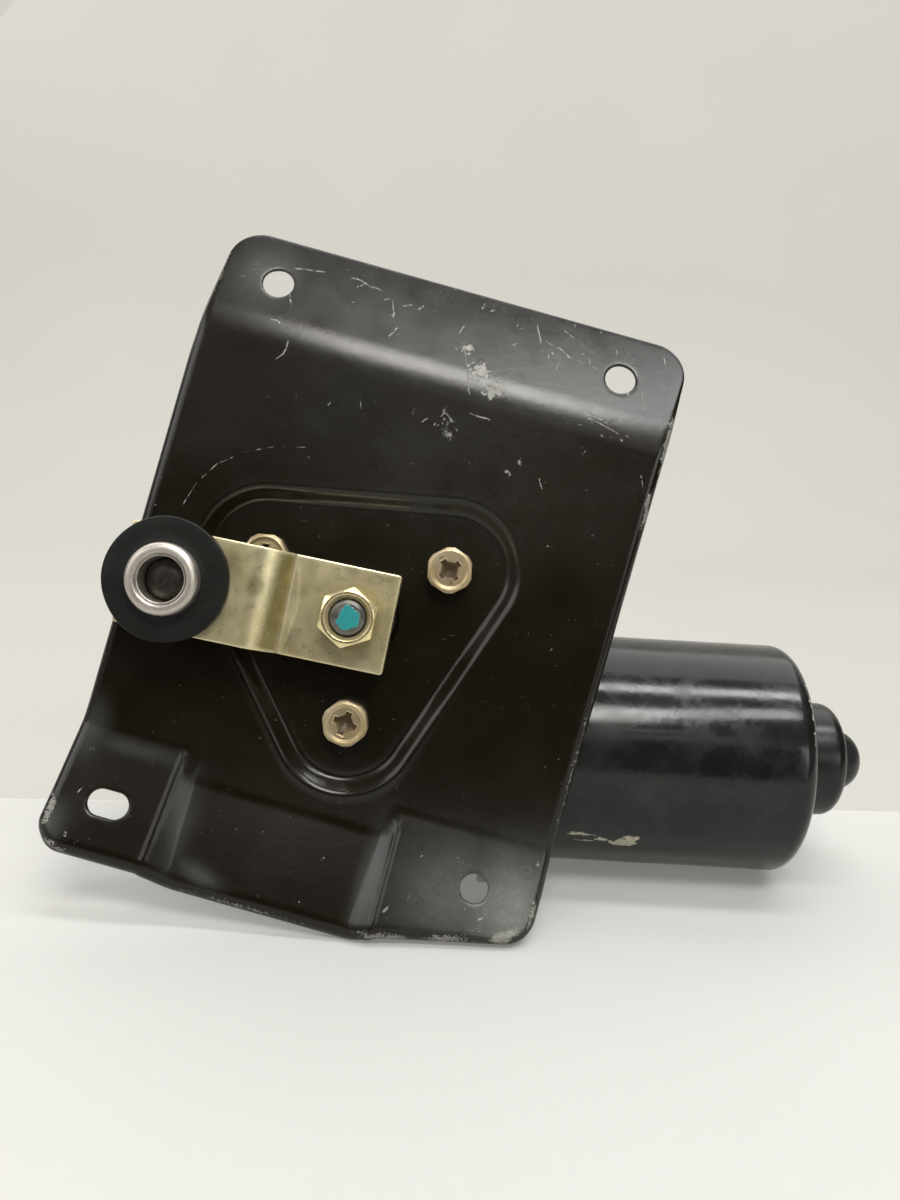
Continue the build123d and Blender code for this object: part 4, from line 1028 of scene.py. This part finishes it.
def arm_top(a, b):
    a = np.asarray(a, float)
    q = (np.asarray(b, float) / 12.0) ** 2
    t = np.clip((a - 15.3) / 8.4, 0, 1)
    base = 7.6 + 4.3 * (1 - (1 - t) ** 1.85)
    # shallow crescent pressed beside the crease, and a faint swell past the bend
    base = base - 0.22 * np.clip((a - (12.9 + 2.3 * q)) / 2.2, 0, 1) * (a < 15.3) * (1 - q)
    base = base + 0.14 * np.exp(-((a - 23.0) / 1.6) ** 2)
    crown = 0.10 * np.cos(np.clip(b / 12.0, -1, 1) * math.pi / 2)
    dent = -0.25 * np.exp(-((a - 42.5) ** 2 + b ** 2) / 60.0)
    return base + crown * 0.6 + smooth_noise(a, b, 31, 9.0) * 0.05


def arm_bottom(a, b):
    a = np.asarray(a, float)
    return 3.6 + 4.3 * soft((a - 16.9) / 5.2, 0.22) + smooth_noise(a, b, 32, 9.0) * 0.03


co, fa = slab([(-10, -12.0), (53.3, -12.0), (53.3, 12.0), (-10, 12.0)], [0.6, 0.8, 0.8, 0.6],
              arm_top, arm_bottom, 0.32, 0.25, s=0.42, step=0.4)
arm = make("crank_arm_strap", co, fa, CRANK, M["arm"], "output", "yellow_zinc", replaces=("crank_arm",))


# ---------------------------------------------------------- heads and nuts --
def hexr(th, af, corner):
    ph = (th + math.pi / 6) % (math.pi / 3) - math.pi / 6
    r = af / 2 / np.cos(ph)
    return np.minimum(r, corner - 0.06 * (np.abs(ph) / (math.pi / 6)) ** 6)


def smax(a, b, k):
    h = np.clip(0.5 + 0.5 * (a - b) / k, 0, 1)
    return b + (a - b) * h + k * h * (1 - h)


def head(af, corner, z0, top, r_list, n=192, split=0.95):
    """Hexagon body with heights top(x, y) over its top, in its own axes."""
    th = np.linspace(0, 2 * math.pi, n, endpoint=False)
    R = hexr(th, af, corner)
    co, faces = [], []
    rings = []
    for f in r_list:
        r = f * np.full(n, af / 2)
        if f > split:
            r = (split * af / 2) + (R - split * af / 2) * (f - split) / (1 - split)
        x, y = r * np.cos(th), r * np.sin(th)
        z = top(x, y)
        rings.append(len(co))
        co += [(x[i], y[i], z[i]) for i in range(n)]
    zt = np.array([c[2] for c in co[rings[-1]:]])
    for zz in (0.06, 0.2, 0.6, 0.9):
        x, y = R * np.cos(th), R * np.sin(th)
        rings.append(len(co))
        co += [(x[i], y[i], zt[i] + (z0 + 0.35 - zt[i]) * zz) for i in range(n)]
    low = R - np.clip(R - af / 2 * 1.01, 0, 9) * 0.9
    x, y = low * np.cos(th), low * np.sin(th)
    rings.append(len(co))
    co += [(x[i], y[i], z0) for i in range(n)]
    cb = len(co)
    co.append((0, 0, z0))
    ct = len(co)
    c0 = float(top(np.array([0.0]), np.array([0.0]))[0])
    co.append((0, 0, c0))
    for a, b in zip(rings[:-1], rings[1:]):
        for i in range(n):
            j = (i + 1) % n
            faces.append((a + i, b + i, b + j, a + j))
    for i in range(n):
        j = (i + 1) % n
        faces.append((ct, rings[0] + i, rings[0] + j))
        faces.append((cb, rings[-1] + j, rings[-1] + i))
    return co, faces


def local_co(o, m):
    inv = to_np(m.inverted())
    p = np.array([list(v.co) for v in o.data.vertices]) * 1000
    return p @ inv[:3, :3].T + inv[:3, 3]


def attribute(o, name, values):
    at = o.data.attributes.new(name, 'FLOAT', 'POINT')
    at.data.foreach_set("value", np.asarray(values, np.float32))


def place_z(x, y, z=0.0, turn=0.0):
    return Matrix.Translation((x, y, z)) @ Matrix.Rotation(math.radians(turn), 4, 'Z')


def screw_top(cross):
    c, s = math.cos(math.radians(cross)), math.sin(math.radians(cross))

    def top(x, y):
        x, y = np.asarray(x, float), np.asarray(y, float)
        r = np.hypot(x, y)
        z = 1.9 - 0.62 * ramp(r - 5.0, 0.22)
        z = z - 0.38 * soft((4.45 - r) / 0.4, 0.3)
        z = z + 0.05 * np.exp(-((r - 4.7) / 0.2) ** 2)
        a, b = x * c + y * s, -x * s + y * c
        half = 0.70 + 0.10 * (r - 1.6)
        d1 = np.minimum((half - np.abs(b)) / 0.16, (2.95 - np.abs(a)) / 0.35)
        d2 = np.minimum((half - np.abs(a)) / 0.16, (2.95 - np.abs(b)) / 0.35)
        core = (2.3 - (np.abs(a) + np.abs(b)) * 0.80) / 0.3
        m = np.clip(np.maximum(np.maximum(d1, d2), core), 0, 1)
        deep = 2.3 - 0.50 * r
        z = z - m * deep
        burr = np.clip(1 - np.abs(np.maximum(d1, d2) + 0.4) / 0.5, 0, 1) * 0.05
        return z + burr * (r < 4.0)
    return top


rl = list(np.linspace(0.02, 0.62, 36)) + list(np.linspace(0.635, 0.93, 18)) + list(np.linspace(0.94, 1.0, 7))
parts_ = []
for a, turn, cross in zip(SCREW_ANG, (12, 41, 22), (51, 10, -8)):
    h = head(10.6, 5.62, -DEPTH, screw_top(cross - turn), rl, n=264, split=0.93)
    # the shank behind the head, drawn plain without a thread
    sh, fh = lathe([(0, -18.9), (2.2, -18.9), (2.85, -18.2), (2.95, -10), (3.0, -DEPTH)], 32)
    m = place_z(SCREW_R * math.cos(math.radians(a)), SCREW_R * math.sin(math.radians(a)), 0, turn)
    parts_.append(moved(h, m))
    parts_.append(moved((sh, fh), m))
co, fa = merge(*parts_)
scr = make("bracket_screws", co, fa, PANEL, M["screw"], "frame", "yellow_zinc", sharp=40,
           replaces=("gearbox_screws",))
p = local_co(scr, PANEL)
# dirt and painted shade: the cross recess, the groove round it, the head's chamfer and the hidden shank are darkened
dirt_and_shade = np.zeros(len(p))
for a, cross in zip(SCREW_ANG, (51, 10, -8)):
    x, y = p[:, 0] - SCREW_R * math.cos(math.radians(a)), p[:, 1] - SCREW_R * math.sin(math.radians(a))
    r = np.hypot(x, y)
    c, s_ = math.cos(math.radians(cross)), math.sin(math.radians(cross))
    q, t = np.abs(x * c + y * s_), np.abs(-x * s_ + y * c)
    m = np.maximum(np.minimum(0.80 - t, 3.0 - q), np.minimum(0.80 - q, 3.0 - t))
    m = np.maximum(m, (2.15 - (q + t) * 0.8))
    d = np.clip(m / 0.3, 0, 1) * 0.95 * (p[:, 2] < 1.15)
    d = np.maximum(d, np.exp(-((r - 4.3) / 0.25) ** 2) * 0.40)
    d = np.maximum(d, np.clip((r - 4.75) / 0.3, 0, 1) * 0.46)
    d = np.maximum(d, np.clip((-0.6 - p[:, 2]) / 1.2, 0, 1) * 0.7)
    dirt_and_shade = np.where(r < 7, d, dirt_and_shade)
attribute(scr, "dirt_and_shade", dirt_and_shade)


def nut_top(x, y):
    r = np.hypot(x, y)
    z = 14.1 - 0.60 * ramp(r - 6.0, 0.12)
    return z - 1.15 * soft((5.35 - r) / 1.1, 0.10) + smooth_noise(x, y, 41, 7.0) * 0.03


rn = list(np.linspace(0.40, 0.62, 5)) + list(np.linspace(0.635, 0.95, 26)) + list(np.linspace(0.955, 1.0, 14))
h = head(12.5, 7.2, 7.62, nut_top, rn, n=288, split=0.95)
nut = make("arm_nut", *moved(h, place_z(0, 0, 0, -2)), CRANK, M["nut"], "output", "yellow_zinc", sharp=38,
           replaces=("shaft_nut",))

# painted shade with some dirt: the nut's bore and cone, and its foot against the arm, are darkened
p = local_co(nut, CRANK)
r = np.hypot(p[:, 0], p[:, 1])
d = np.clip((4.75 - r) / 0.35, 0, 1) * 0.95
d = np.maximum(d, np.exp(-((r - 5.05) / 0.3) ** 2) * 0.35)
d = np.maximum(d, np.clip((8.3 - p[:, 2]) / 0.6, 0, 1) * 0.7)
attribute(nut, "dirt_and_shade", d)
# painted shade with some dirt: a dark ring round the nut, dark lines along the crease and jog, a ring round the rubber
# disc, a faint line near the edges
p = local_co(arm, CRANK)
edge = np.minimum(np.minimum(12.0 - np.abs(p[:, 1]), p[:, 0] + 10), 53.3 - p[:, 0])
nut_ring_shade = np.exp(-((np.hypot(p[:, 0], p[:, 1]) - 7.2) / 1.3) ** 2) * 0.42
crease_shade = np.exp(-((p[:, 0] - 15.35) / 0.34) ** 2) * 0.85
crease_shade = np.maximum(crease_shade, np.exp(-((p[:, 0] - 12.9 - 2.3 * (p[:, 1] / 12) ** 2) / 0.28) ** 2) * 0.55)
crease_shade = np.maximum(crease_shade, np.clip((p[:, 0] - 15.3) / 0.5, 0, 1) * np.clip((19.0 - p[:, 0]) / 1.8, 0, 1) * 0.30)
d = np.maximum(np.maximum(nut_ring_shade, crease_shade), np.exp(-((edge - 0.55) / 0.35) ** 2) * 0.10)
d = np.maximum(d, np.exp(-((np.hypot(p[:, 0] - 42.5, p[:, 1]) - 14.0) / 1.6) ** 2) * 0.35)
attribute(arm, "dirt_and_shade", np.clip(d + smooth_noise(p[:, 0], p[:, 1], 51, 6.0) * 0.06, 0, 1))
# tarnish and painted shade: the sloped jog and a ring round the nut are darkened, with random tarnish patches on top
along, across = p[:, 0], p[:, 1]
tarn_and_shade = np.clip((along - 15.2) / 0.8, 0, 1) * np.clip((20.6 + 0.05 * across - along) / 2.6, 0, 1) * 0.95
tarn_and_shade = np.maximum(tarn_and_shade, np.exp(-((np.hypot(along, across) - 7.0) / 2.2) ** 2) * 0.55)
tarn_and_shade = np.maximum(tarn_and_shade, np.clip(smooth_noise(along, across, 52, 9.0) * 0.9 - 0.15, 0, 0.45))
tarn_and_shade = np.maximum(tarn_and_shade, np.exp(-(((along - 29.5) / 3.0) ** 2 + ((across + 6.5) / 3.2) ** 2)) * 0.6)
attribute(arm, "tarnish_and_shade", tarn_and_shade * np.clip(edge / 1.1, 0.15, 1))

# ------------------------------------------------------- turned front parts --
PINX = 42.5
zt = 11.9
b0, b1 = 12.2, 18.1
prof = [(5.22, b0 + 0.1), (7.6, b0 + 0.1), (8.38, b0 + 2.5), (8.4, b0 + 2.9)]
prof += [(8.4, b1 - 1.8)] + arc(6.85, b1 - 1.55, 1.55, 0, 90, 10) + [(6.6, b1)] + arc(6.3, b1 - 0.25, 0.25, 90, 150, 3) + \
    [(5.55, b1 - 0.62)] + arc(5.5, b1 - 0.95, 0.22, 80, 180, 4) + [(5.24, b1 - 2.0), (5.22, b0 + 0.4)]
make("link_bush_turned", *moved(lathe(prof, 160, closed=True), place_z(PINX, 0)), CRANK, M["ring"], "link",
     "bright_steel", sharp=50, replaces=("link_bush",))

prof = [(7.62, b0 + 0.15), (7.62, b0 + 0.02), (13.6, b0)] + arc(14.05, b0 + 0.45, 0.44, -90, 0, 4) + \
    arc(14.12, b0 + 2.0, 0.38, 0, 90, 5) + [(12.6, b0 + 2.4), (11.0, b0 + 2.36), (9.6, b0 + 2.38), (8.9, b0 + 2.5),
                                             (8.5, b0 + 2.62), (8.38, b0 + 2.6), (8.2, b0 + 2.2)]
co, fa = lathe(prof, 160, closed=True)
co = np.array(co)
ang = np.arctan2(co[:, 1], co[:, 0])
k = np.clip((np.hypot(co[:, 0], co[:, 1]) - 9) / 5, 0, 1)
co[:, 2] += k * (0.10 * np.sin(3 * ang + 1) + 0.06 * np.sin(7 * ang))
co[:, :2] *= (1 + k * 0.004 * np.sin(5 * ang + 2))[:, None]
make("rubber_disc", *moved((co, fa), place_z(PINX, 0)), CRANK, M["rubber"], "link", "rubber", sharp=60,
     replaces=("rubber_washer",))

prof = [(0, 14.34), (1.2, 14.32), (2.4, 14.22), (3.5, 13.98), (4.35, 13.6), (4.9, 13.1), (5.1, 12.5), (5.1, zt),
        (4.0, zt), (4.0, 7.9), (6.5, 7.9), (6.5, 7.1), (5.4, 6.4), (3.0, 6.3), (0, 6.3)]
make("crank_stud", *moved(lathe(prof, 96), place_z(PINX, 0)), CRANK, M["grimy_shaded"], "output", "dark_steel",
     sharp=50, replaces=("crank_pin",))


# ------------------------------------------------------------------- can --
def build_can():
    R, t = 31.5, 1.8
    rc = 4.6
    prof = [(R, 46.8)]
    prof += [(R, x) for x in np.arange(48, 114, 1.5)]
    prof += arc(R - rc, 119.4 - rc, rc, 0, 90, 12)
    pr = [(r, z) for r, z in prof]
    pr += [(25.4, 119.4), (24.0, 119.3), (20.0, 119.3), (17.6, 119.45)]
    pr += arc(17.3, 121.0, 1.55, 270, 180, 6)
    pr += [(15.7, z) for z in np.arange(122.0, 129.5, 1.5)]
    pr += arc(15.7 - 3.8, 133.6 - 3.8, 3.8, 0, 90, 12)
    pr += [(10.4, 133.62)]
    pr += arc(9.3, 134.4, 0.8, 270, 180, 5)
    pr += [(8.5, 134.5)]
    pr += [(8.45 * math.cos(math.radians(a)) ** 0.9, 134.6 + 7.2 * math.sin(math.radians(a))) for a in range(6, 90, 6)]
    pr += [(0, 141.8)]
    outer, n = pr, 240
    inner = [(0, 140.0), (4.9, 140.0), (6.7, 138.2), (6.7, 128.8), (13.9, 128.8), (13.9, 115.2), (R - t, 115.2),
             (R - t, 45.0), (R, 45.0), (R, 46.8)]
    co, fa = lathe([(R, 46.8)] + outer[1:] , n)
    c2, f2 = lathe(inner, 96)
    # two ears at the mouth
    ears = []
    for (y, z) in ((64.2, -7.8), (11.8, -60.2)):
        # own axes of the motor frame: x is -Y, y follows from it
        p = MOTOR.inverted() @ (WORK @ Vector((45.0, y, z)))
        ears.append((p.x, p.y))
    co = np.array(co)
    # gentle unevenness of a drawn shell
    ang = np.arctan2(co[:, 1], co[:, 0])
    rr = np.hypot(co[:, 0], co[:, 1])
    w = 0.05 * np.sin(2 * ang + 0.7) + 0.035 * np.sin(5 * ang + co[:, 2] * 0.05) + \
        0.03 * np.sin(co[:, 2] * 0.16 + 2 * ang)
    f = np.where(rr > 25, 1.0, 0.0)
    co[:, :2] *= (1 + f * w / np.maximum(rr, 1))[:, None]
    parts = [(co, fa), (c2, f2)]
    for (x, y) in ears:
        a = math.atan2(y, x)
        d = math.hypot(x, y)
        pts, rad = [], []
        wid = 6.2
        c, s = math.cos(a), math.sin(a)
        loc = [(30.9, -13.5), (d + 5.9, -5.2), (d + 5.9, 5.2), (30.9, 13.5)]
        q = [(c * px - s * py, s * px + c * py) for px, py in loc]
        e = slab(q, [1, 5.0, 5.0, 1], lambda u, v: np.full(np.shape(u), 46.8) + 0.0 * u,
                 lambda u, v: np.full(np.shape(u), 45.0) + 0.0 * u, 0.4, 0.2, s=1.2, step=0.6)
        parts.append(e)
    co, fa = merge(*parts)
    o = make("can_shell", co, fa, MOTOR, M["can"], "frame", "can_paint", sharp=48, replaces=("motor_can",))
    me = o.data
    inv = to_np(MOTOR.inverted())
    p = np.array([list(v.co) for v in me.vertices]) * 1000
    p = p @ inv[:3, :3].T + inv[:3, 3]
    th = np.degrees(np.arctan2(p[:, 1], p[:, 0]))
    chip = np.zeros(len(p))
    for (x0, t0, rx, rt, k) in CAN_CHIPS:
        dth = (th - t0 + 180) % 360 - 180
        q = ((p[:, 2] - x0) / rx) ** 2 + (dth / rt) ** 2
        chip = np.maximum(chip, k * np.exp(-q * 1.2))
    rr = np.hypot(p[:, 0], p[:, 1])
    rim = np.exp(-((np.hypot(rr - 29.9, p[:, 2] - 117.8)) / 1.5) ** 2)
    rim = np.maximum(rim, np.exp(-((np.hypot(rr - 14.4, p[:, 2] - 132.3)) / 1.1) ** 2) * 0.8)
    for nme, d in (("chip", chip), ("rim", rim)):
        at = me.attributes.new(nme, 'FLOAT', 'POINT')
        at.data.foreach_set("value", np.asarray(d, np.float32))
    return o


# chips on the can: station, angle about the axis (0 faces the front, degrees), sizes, strength
CAN_CHIPS = [(60, 37, 8, 2.2, 1.0), (61.5, 42, 6, 1.6, 0.95), (71.5, 42, 6, 4.5, 1.05), (73, 38, 4, 4, 1.0), (70, 33, 1.6, 5, 0.9), (66, 40, 4, 2, 0.9),
             (67, -34, 3, 3, 0.6), (76, -50, 3, 3, 0.55), (100, -25, 3, 3, 0.5), (97, 4, 1.6, 2, 0.6), (90, 40, 3, 3, 0.4),
             (75, 150, 8, 8, 0.7), (60, 80, 9, 6, 0.5), (110, -100, 6, 7, 0.6), (118.0, -38, 2, 6, 0.8),
             (118.0, 60, 2, 5, 0.6), (118.2, 18, 1.4, 9, 0.75), (118.2, 42, 1.4, 8, 0.7)]
build_can()

# ------------------------------------------------- finishes of the CAD nodes --
FIN = {
    "gear_housing": ("housing", "cast_alloy"), "output_bush_front": ("bronze", "bronze"),
    "output_bush_rear": ("bronze", "bronze"), "shaft_seal": ("rubber", "rubber"), "tip_bush": ("bronze", "bronze"),
    "thrust_screw": ("dark_steel", "dark_steel"), "thrust_locknut": ("screw", "yellow_zinc"),
    "cover_gasket": ("gasket", "gasket_paper"), "gear_cover": ("cover", "cover_steel"),
    "inlet_grommet": ("rubber", "rubber"), "cover_screws": ("screw", "yellow_zinc"),
    "park_contact_carrier": ("phenolic", "phenolic"), "park_contacts": ("brass", "contact_brass"),
    "can_screws": ("screw", "yellow_zinc"), "field_magnets": ("ferrite", "ferrite"),
    "magnet_clips": ("bright", "bright_steel"), "brush_plate": ("phenolic", "phenolic"),
    "brush_holders": ("brass", "contact_brass"), "carbon_brushes": ("carbon", "carbon"),
    "brush_springs": ("bright", "bright_steel"), "bearing_outer_ring": ("bright", "bright_steel"),
    "bearing_balls": ("bright", "bright_steel"), "rear_bush": ("bronze", "bronze"),
    "bush_retainer": ("bright", "bright_steel"), "thrust_ball": ("bright", "bright_steel"),
    "worm_wheel": ("acetal", "acetal"), "wheel_hub": ("greased", "dark_steel"),
    "wheel_thrust_washer": ("bright", "bright_steel"), "park_disc": ("brass", "contact_brass"),
    "output_shaft": ("shaft", "dark_steel"), "output_thrust_washer": ("bright", "bright_steel"),
    "shaft_circlip": ("dark_steel", "dark_steel"), "armature_shaft": ("greased", "bright_steel"),
    "bearing_inner_ring": ("bright", "bright_steel"), "lamination_stack": ("core", "core_steel"),
    "armature_windings": ("copper", "copper_wire"), "commutator_hub": ("phenolic", "phenolic"),
    "commutator_bars": ("copper", "copper_wire"),
}
hidden = {"mounting_plate", "gearbox_screws", "crank_arm", "shaft_nut", "link_bush", "rubber_washer", "crank_pin",
          "motor_can"}
for name, o in N_.items():
    if name in hidden:
        continue
    m, sl = FIN.get(name, ("dark_steel", "dark_steel"))
    o.data.materials.clear()
    o.data.materials.append(M[m])
print("nodes", sorted(N_), "unfinished", [k for k in N_ if k not in FIN and k not in hidden])

hs = N_["gear_housing"]
rm = hs.modifiers.new("cast_skin", 'REMESH')
rm.mode = 'VOXEL'
rm.voxel_size = 0.00055
rm.use_smooth_shade = True
sm = hs.modifiers.new("cast_soften", 'SMOOTH')
sm.factor = 0.5
sm.iterations = 4
for k in ("thrust_locknut", "thrust_screw", "can_screws", "cover_screws", "gear_cover", "inlet_grommet",
          "output_bush_front", "shaft_seal"):
    o = N_[k]
    bv = o.modifiers.new("edge", 'BEVEL')
    bv.width = 0.00022 if k not in ("gear_cover",) else 0.0004
    bv.segments = 2
    bv.limit_method = 'ANGLE'
    bv.angle_limit = math.radians(38)
    bv.harden_normals = False

# ------------------------------------------------------------- the camera --
cam_d = bpy.data.cameras.new("camera")
cam = bpy.data.objects.new("camera", cam_d)
bpy.context.scene.collection.objects.link(cam)
cam_d.sensor_fit = 'VERTICAL'
cam_d.sensor_height = 36.0
cam_d.sensor_width = 36.0
cam_d.lens = 27.0
cam_d.clip_start, cam_d.clip_end = 0.01, 20.0
r_ = math.radians(3.2)
right = Vector((math.cos(r_), 0, math.sin(r_)))
up = Vector((-math.sin(r_), 0, math.cos(r_)))
back = Vector((0, -1, 0))
mc = Matrix((right, up, back)).transposed().to_4x4()
mc.translation = Vector((23.24, -219.5, 5.36))
mw = WORK @ mc
mw.translation = mw.translation * MM
cam.matrix_world = mw
bpy.context.scene.camera = cam


def floor_hit(px, py):
    d = mw.to_3x3() @ Vector(((px - 450) / 900, -(py - 600) / 900, -1))
    o = mw.translation
    t = -o.z / d.z
    return o + d * t


# ------------------------------------------------------------ floor, light --
def floor_material(p0, p1):
    n = Net("studio_floor")
    d = (p1 - p0).normalized()
    nx, ny = -d.y, d.x
    if ny < 0:
        nx, ny = -nx, -ny
    off = nx * p0.x + ny * p0.y
    s = n.nt.nodes.new("ShaderNodeSeparateXYZ")
    n.link(n.obj, s.inputs[0])
    q = n.math('ADD', n.math('MULTIPLY', s.outputs[0], nx), n.math('MULTIPLY', s.outputs[1], ny))
    wall = n.step(q, off - 0.0007, off + 0.0007)
    grain = n.noise(300, 4, 0.6, seed=400)
    blot = n.noise(9, 3, 0.5, seed=401)
    table = n.mix(n.fit(blot, 0.3, 0.7, 0, 1), (0.350, 0.346, 0.330), (0.360, 0.356, 0.340))
    table = n.mix(n.math('MULTIPLY', n.step(grain, 0.5, 0.8), 0.05), table, (0.6, 0.6, 0.56))
    wallc = n.mix(n.fit(blot, 0.3, 0.7, 0, 1), (0.660, 0.640, 0.582), (0.672, 0.652, 0.60))
    base = n.mix(wall, table, wallc)
    nrm = n.bump(grain, 0.0001, 0.25)
    n.set(base=base, rough=0.75, normal=nrm, spec=0.2)
    n.link((0.98, 0.97, 0.92), n.b.inputs["Emission Color"])
    n.b.inputs["Emission Strength"].default_value = TABLE_GLOW
    # the part beyond the line is a wall in tone, so it takes little of the shadow
    em = n.nt.nodes.new("ShaderNodeEmission")
    n.link(wallc, em.inputs[0])
    em.inputs[1].default_value = WALL_GLOW
    mx = n.nt.nodes.new("ShaderNodeMixShader")
    n.link(n.math('MULTIPLY', wall, WALL_MIX), mx.inputs[0])
    n.nt.links.new(n.b.outputs[0], mx.inputs[1])
    n.nt.links.new(em.outputs[0], mx.inputs[2])
    n.nt.links.new(mx.outputs[0], n.out.inputs[0])
    return n.mat


WALL_GLOW, WALL_MIX, TABLE_GLOW = 0.80, 0.75, 0.160
hit0, hit1 = floor_hit(0, 799), floor_hit(900, 812)
print("line", hit0, hit1)
ys = [-1.6, -0.6, -0.2, 0.1, 0.5]
prof = [(y, 0.0) for y in ys]
cr_ = 0.25
prof += [(0.5 + cr_ * math.sin(math.radians(a)), cr_ - cr_ * math.cos(math.radians(a))) for a in range(6, 91, 6)]
prof += [(0.75, 0.45), (0.75, 0.66)]
co, fa = [], []
xs = [-1.8, -0.6, 0.0, 0.6, 1.8]
for (y, z) in prof:
    for x in xs:
        co.append((x, y, z))
w_ = len(xs)
for i in range(len(prof) - 1):
    for j in range(w_ - 1):
        fa.append((i * w_ + j, i * w_ + j + 1, (i + 1) * w_ + j + 1, (i + 1) * w_ + j))
me = bpy.data.meshes.new("studio_floor")
me.from_pydata(co, [], fa)
for p in me.polygons:
    p.use_smooth = True
fl = bpy.data.objects.new("studio_floor", me)
bpy.context.scene.collection.objects.link(fl)
me.materials.append(floor_material(hit0, hit1))

w = bpy.data.worlds.new("studio")
bpy.context.scene.world = w
w.use_nodes = True
nt = w.node_tree
bg = nt.nodes["Background"]
tc = nt.nodes.new("ShaderNodeTexCoord")
sp = nt.nodes.new("ShaderNodeSeparateXYZ")
nt.links.new(tc.outputs["Generated"], sp.inputs[0])
ra = nt.nodes.new("ShaderNodeValToRGB")
nt.links.new(sp.outputs[2], ra.inputs[0])
cr = ra.color_ramp
cr.interpolation = 'EASE'
cr.elements[0].position, cr.elements[0].color = 0.0, (0.36, 0.355, 0.34, 1)
cr.elements[1].position, cr.elements[1].color = 1.0, (0.32, 0.32, 0.31, 1)
for pos, v in ((0.30, 0.30), (0.70, 0.28)):
    e = cr.elements.new(pos)
    e.color = (v, v, v * 0.975, 1)
nt.links.new(ra.outputs[0], bg.inputs[0])
bg.inputs[1].default_value = 1.0


def area(name, loc, target, sx, sy, power, color=(1, 1, 1), spread=180):
    d = bpy.data.lights.new(name, 'AREA')
    d.shape = 'RECTANGLE'
    d.size, d.size_y = sx, sy
    d.energy = power
    d.color = color
    d.spread = math.radians(spread)
    o = bpy.data.objects.new(name, d)
    bpy.context.scene.collection.objects.link(o)
    o.location = loc
    o.visible_camera = False
    q = (Vector(target) - Vector(loc)).to_track_quat('-Z', 'Y')
    o.rotation_mode = 'QUATERNION'
    o.rotation_quaternion = q
    return o


C = Vector((0.02, 0.0, 0.06))


def polar_loc(az, el, dist):
    a, e = math.radians(az), math.radians(el)
    return C + Vector((math.sin(a) * math.cos(e), -math.cos(a) * math.cos(e), math.sin(e))) * dist




# a dark card in front, seen only by glossy rays, keeps the black sheet black
nc = Net("dark_card")
cg = nc.noise(6, 2, 0.5, seed=500)
nc.set(base=nc.mix(cg, (0.0040, 0.0034, 0.0022), (0.0062, 0.0054, 0.0038)), rough=0.9, spec=0.0)


def dark_card(name, pts):
    me = bpy.data.meshes.new(name)
    me.from_pydata(pts, [], [(0, 1, 2, 3)])
    me.materials.append(nc.mat)
    card = bpy.data.objects.new(name, me)
    bpy.context.scene.collection.objects.link(card)
    card.visible_camera = card.visible_diffuse = card.visible_shadow = card.visible_transmission = False


dark_card("dark_card", [(-0.85, -1.0, -0.05), (0.57, -1.0, -0.05), (0.57, -1.0, 0.56), (-0.85, -1.0, 0.56)])
dark_card("dark_card_side", [(1.05, -0.95, 0.02), (0.80, 0.45, 0.02), (0.80, 0.45, 0.75), (1.05, -0.95, 0.75)])


def lamp(name, az, el, dist, sx, sy, L, color=(1, 1, 1)):
    """A rectangular lamp of radiance L, seen from the object at that azimuth and elevation."""
    return area(name, polar_loc(az, el, dist), C, sx, sy, L * math.pi * sx * sy, color)


tube = area("tube_high", C + Vector((0.22, -0.125, 1.1)), C, 0.95, 0.15, 19.0 * math.pi * 0.95 * 0.15, (0.98, 0.99, 1.0))
tube.rotation_quaternion = (1, 0, 0, 0)
lamp("soft_bend", 4, 52.5, 1.1, 0.43, 0.24, 22.5, (1.0, 0.985, 0.945))
lamp("soft_bend_right", 35, 54.5, 1.1, 0.33, 0.155, 13.0, (0.98, 1.0, 1.0))
lamp("crest_glow", 26, 5, 1.15, 0.38, 0.26, 1.35, (1.0, 0.99, 0.94))
lamp("tube_low", 16, 37, 1.3, 0.10, 0.035, 6.0, (1.0, 0.99, 0.96))
lamp("soft_low", 8, 31.5, 1.3, 0.70, 0.085, 1.25, (1.0, 0.97, 0.90))
lamp("back_high", 182, 58, 1.0, 1.6, 0.85, 1.9, (1.0, 0.99, 0.97))
lamp("left_fill", -61, 28, 1.2, 0.62, 0.45, 3.2, (1.0, 0.98, 1.0))
lamp("right_fill", 41, 18, 1.2, 0.32, 0.30, 3.2, (0.98, 1.0, 0.94))

lamp("bend_strip", -8, 25.4, 1.2, 0.62, 0.022, 2.2, (1.0, 1.0, 0.94))
lamp("edge_right", 31, 21, 1.2, 0.045, 0.26, 7.0, (1.0, 1.0, 0.97))
lamp("edge_left", -36, 27, 1.2, 0.06, 0.30, 9.0, (1.0, 1.0, 0.97))
lamp("back_left", -122, 38, 0.9, 0.8, 0.5, 1.6, (1.0, 0.99, 0.97))

sc = bpy.context.scene
sc.view_settings.view_transform = 'Standard'
sc.view_settings.look = 'None'
sc.view_settings.exposure = 0.0
sc.view_settings.gamma = 1.0
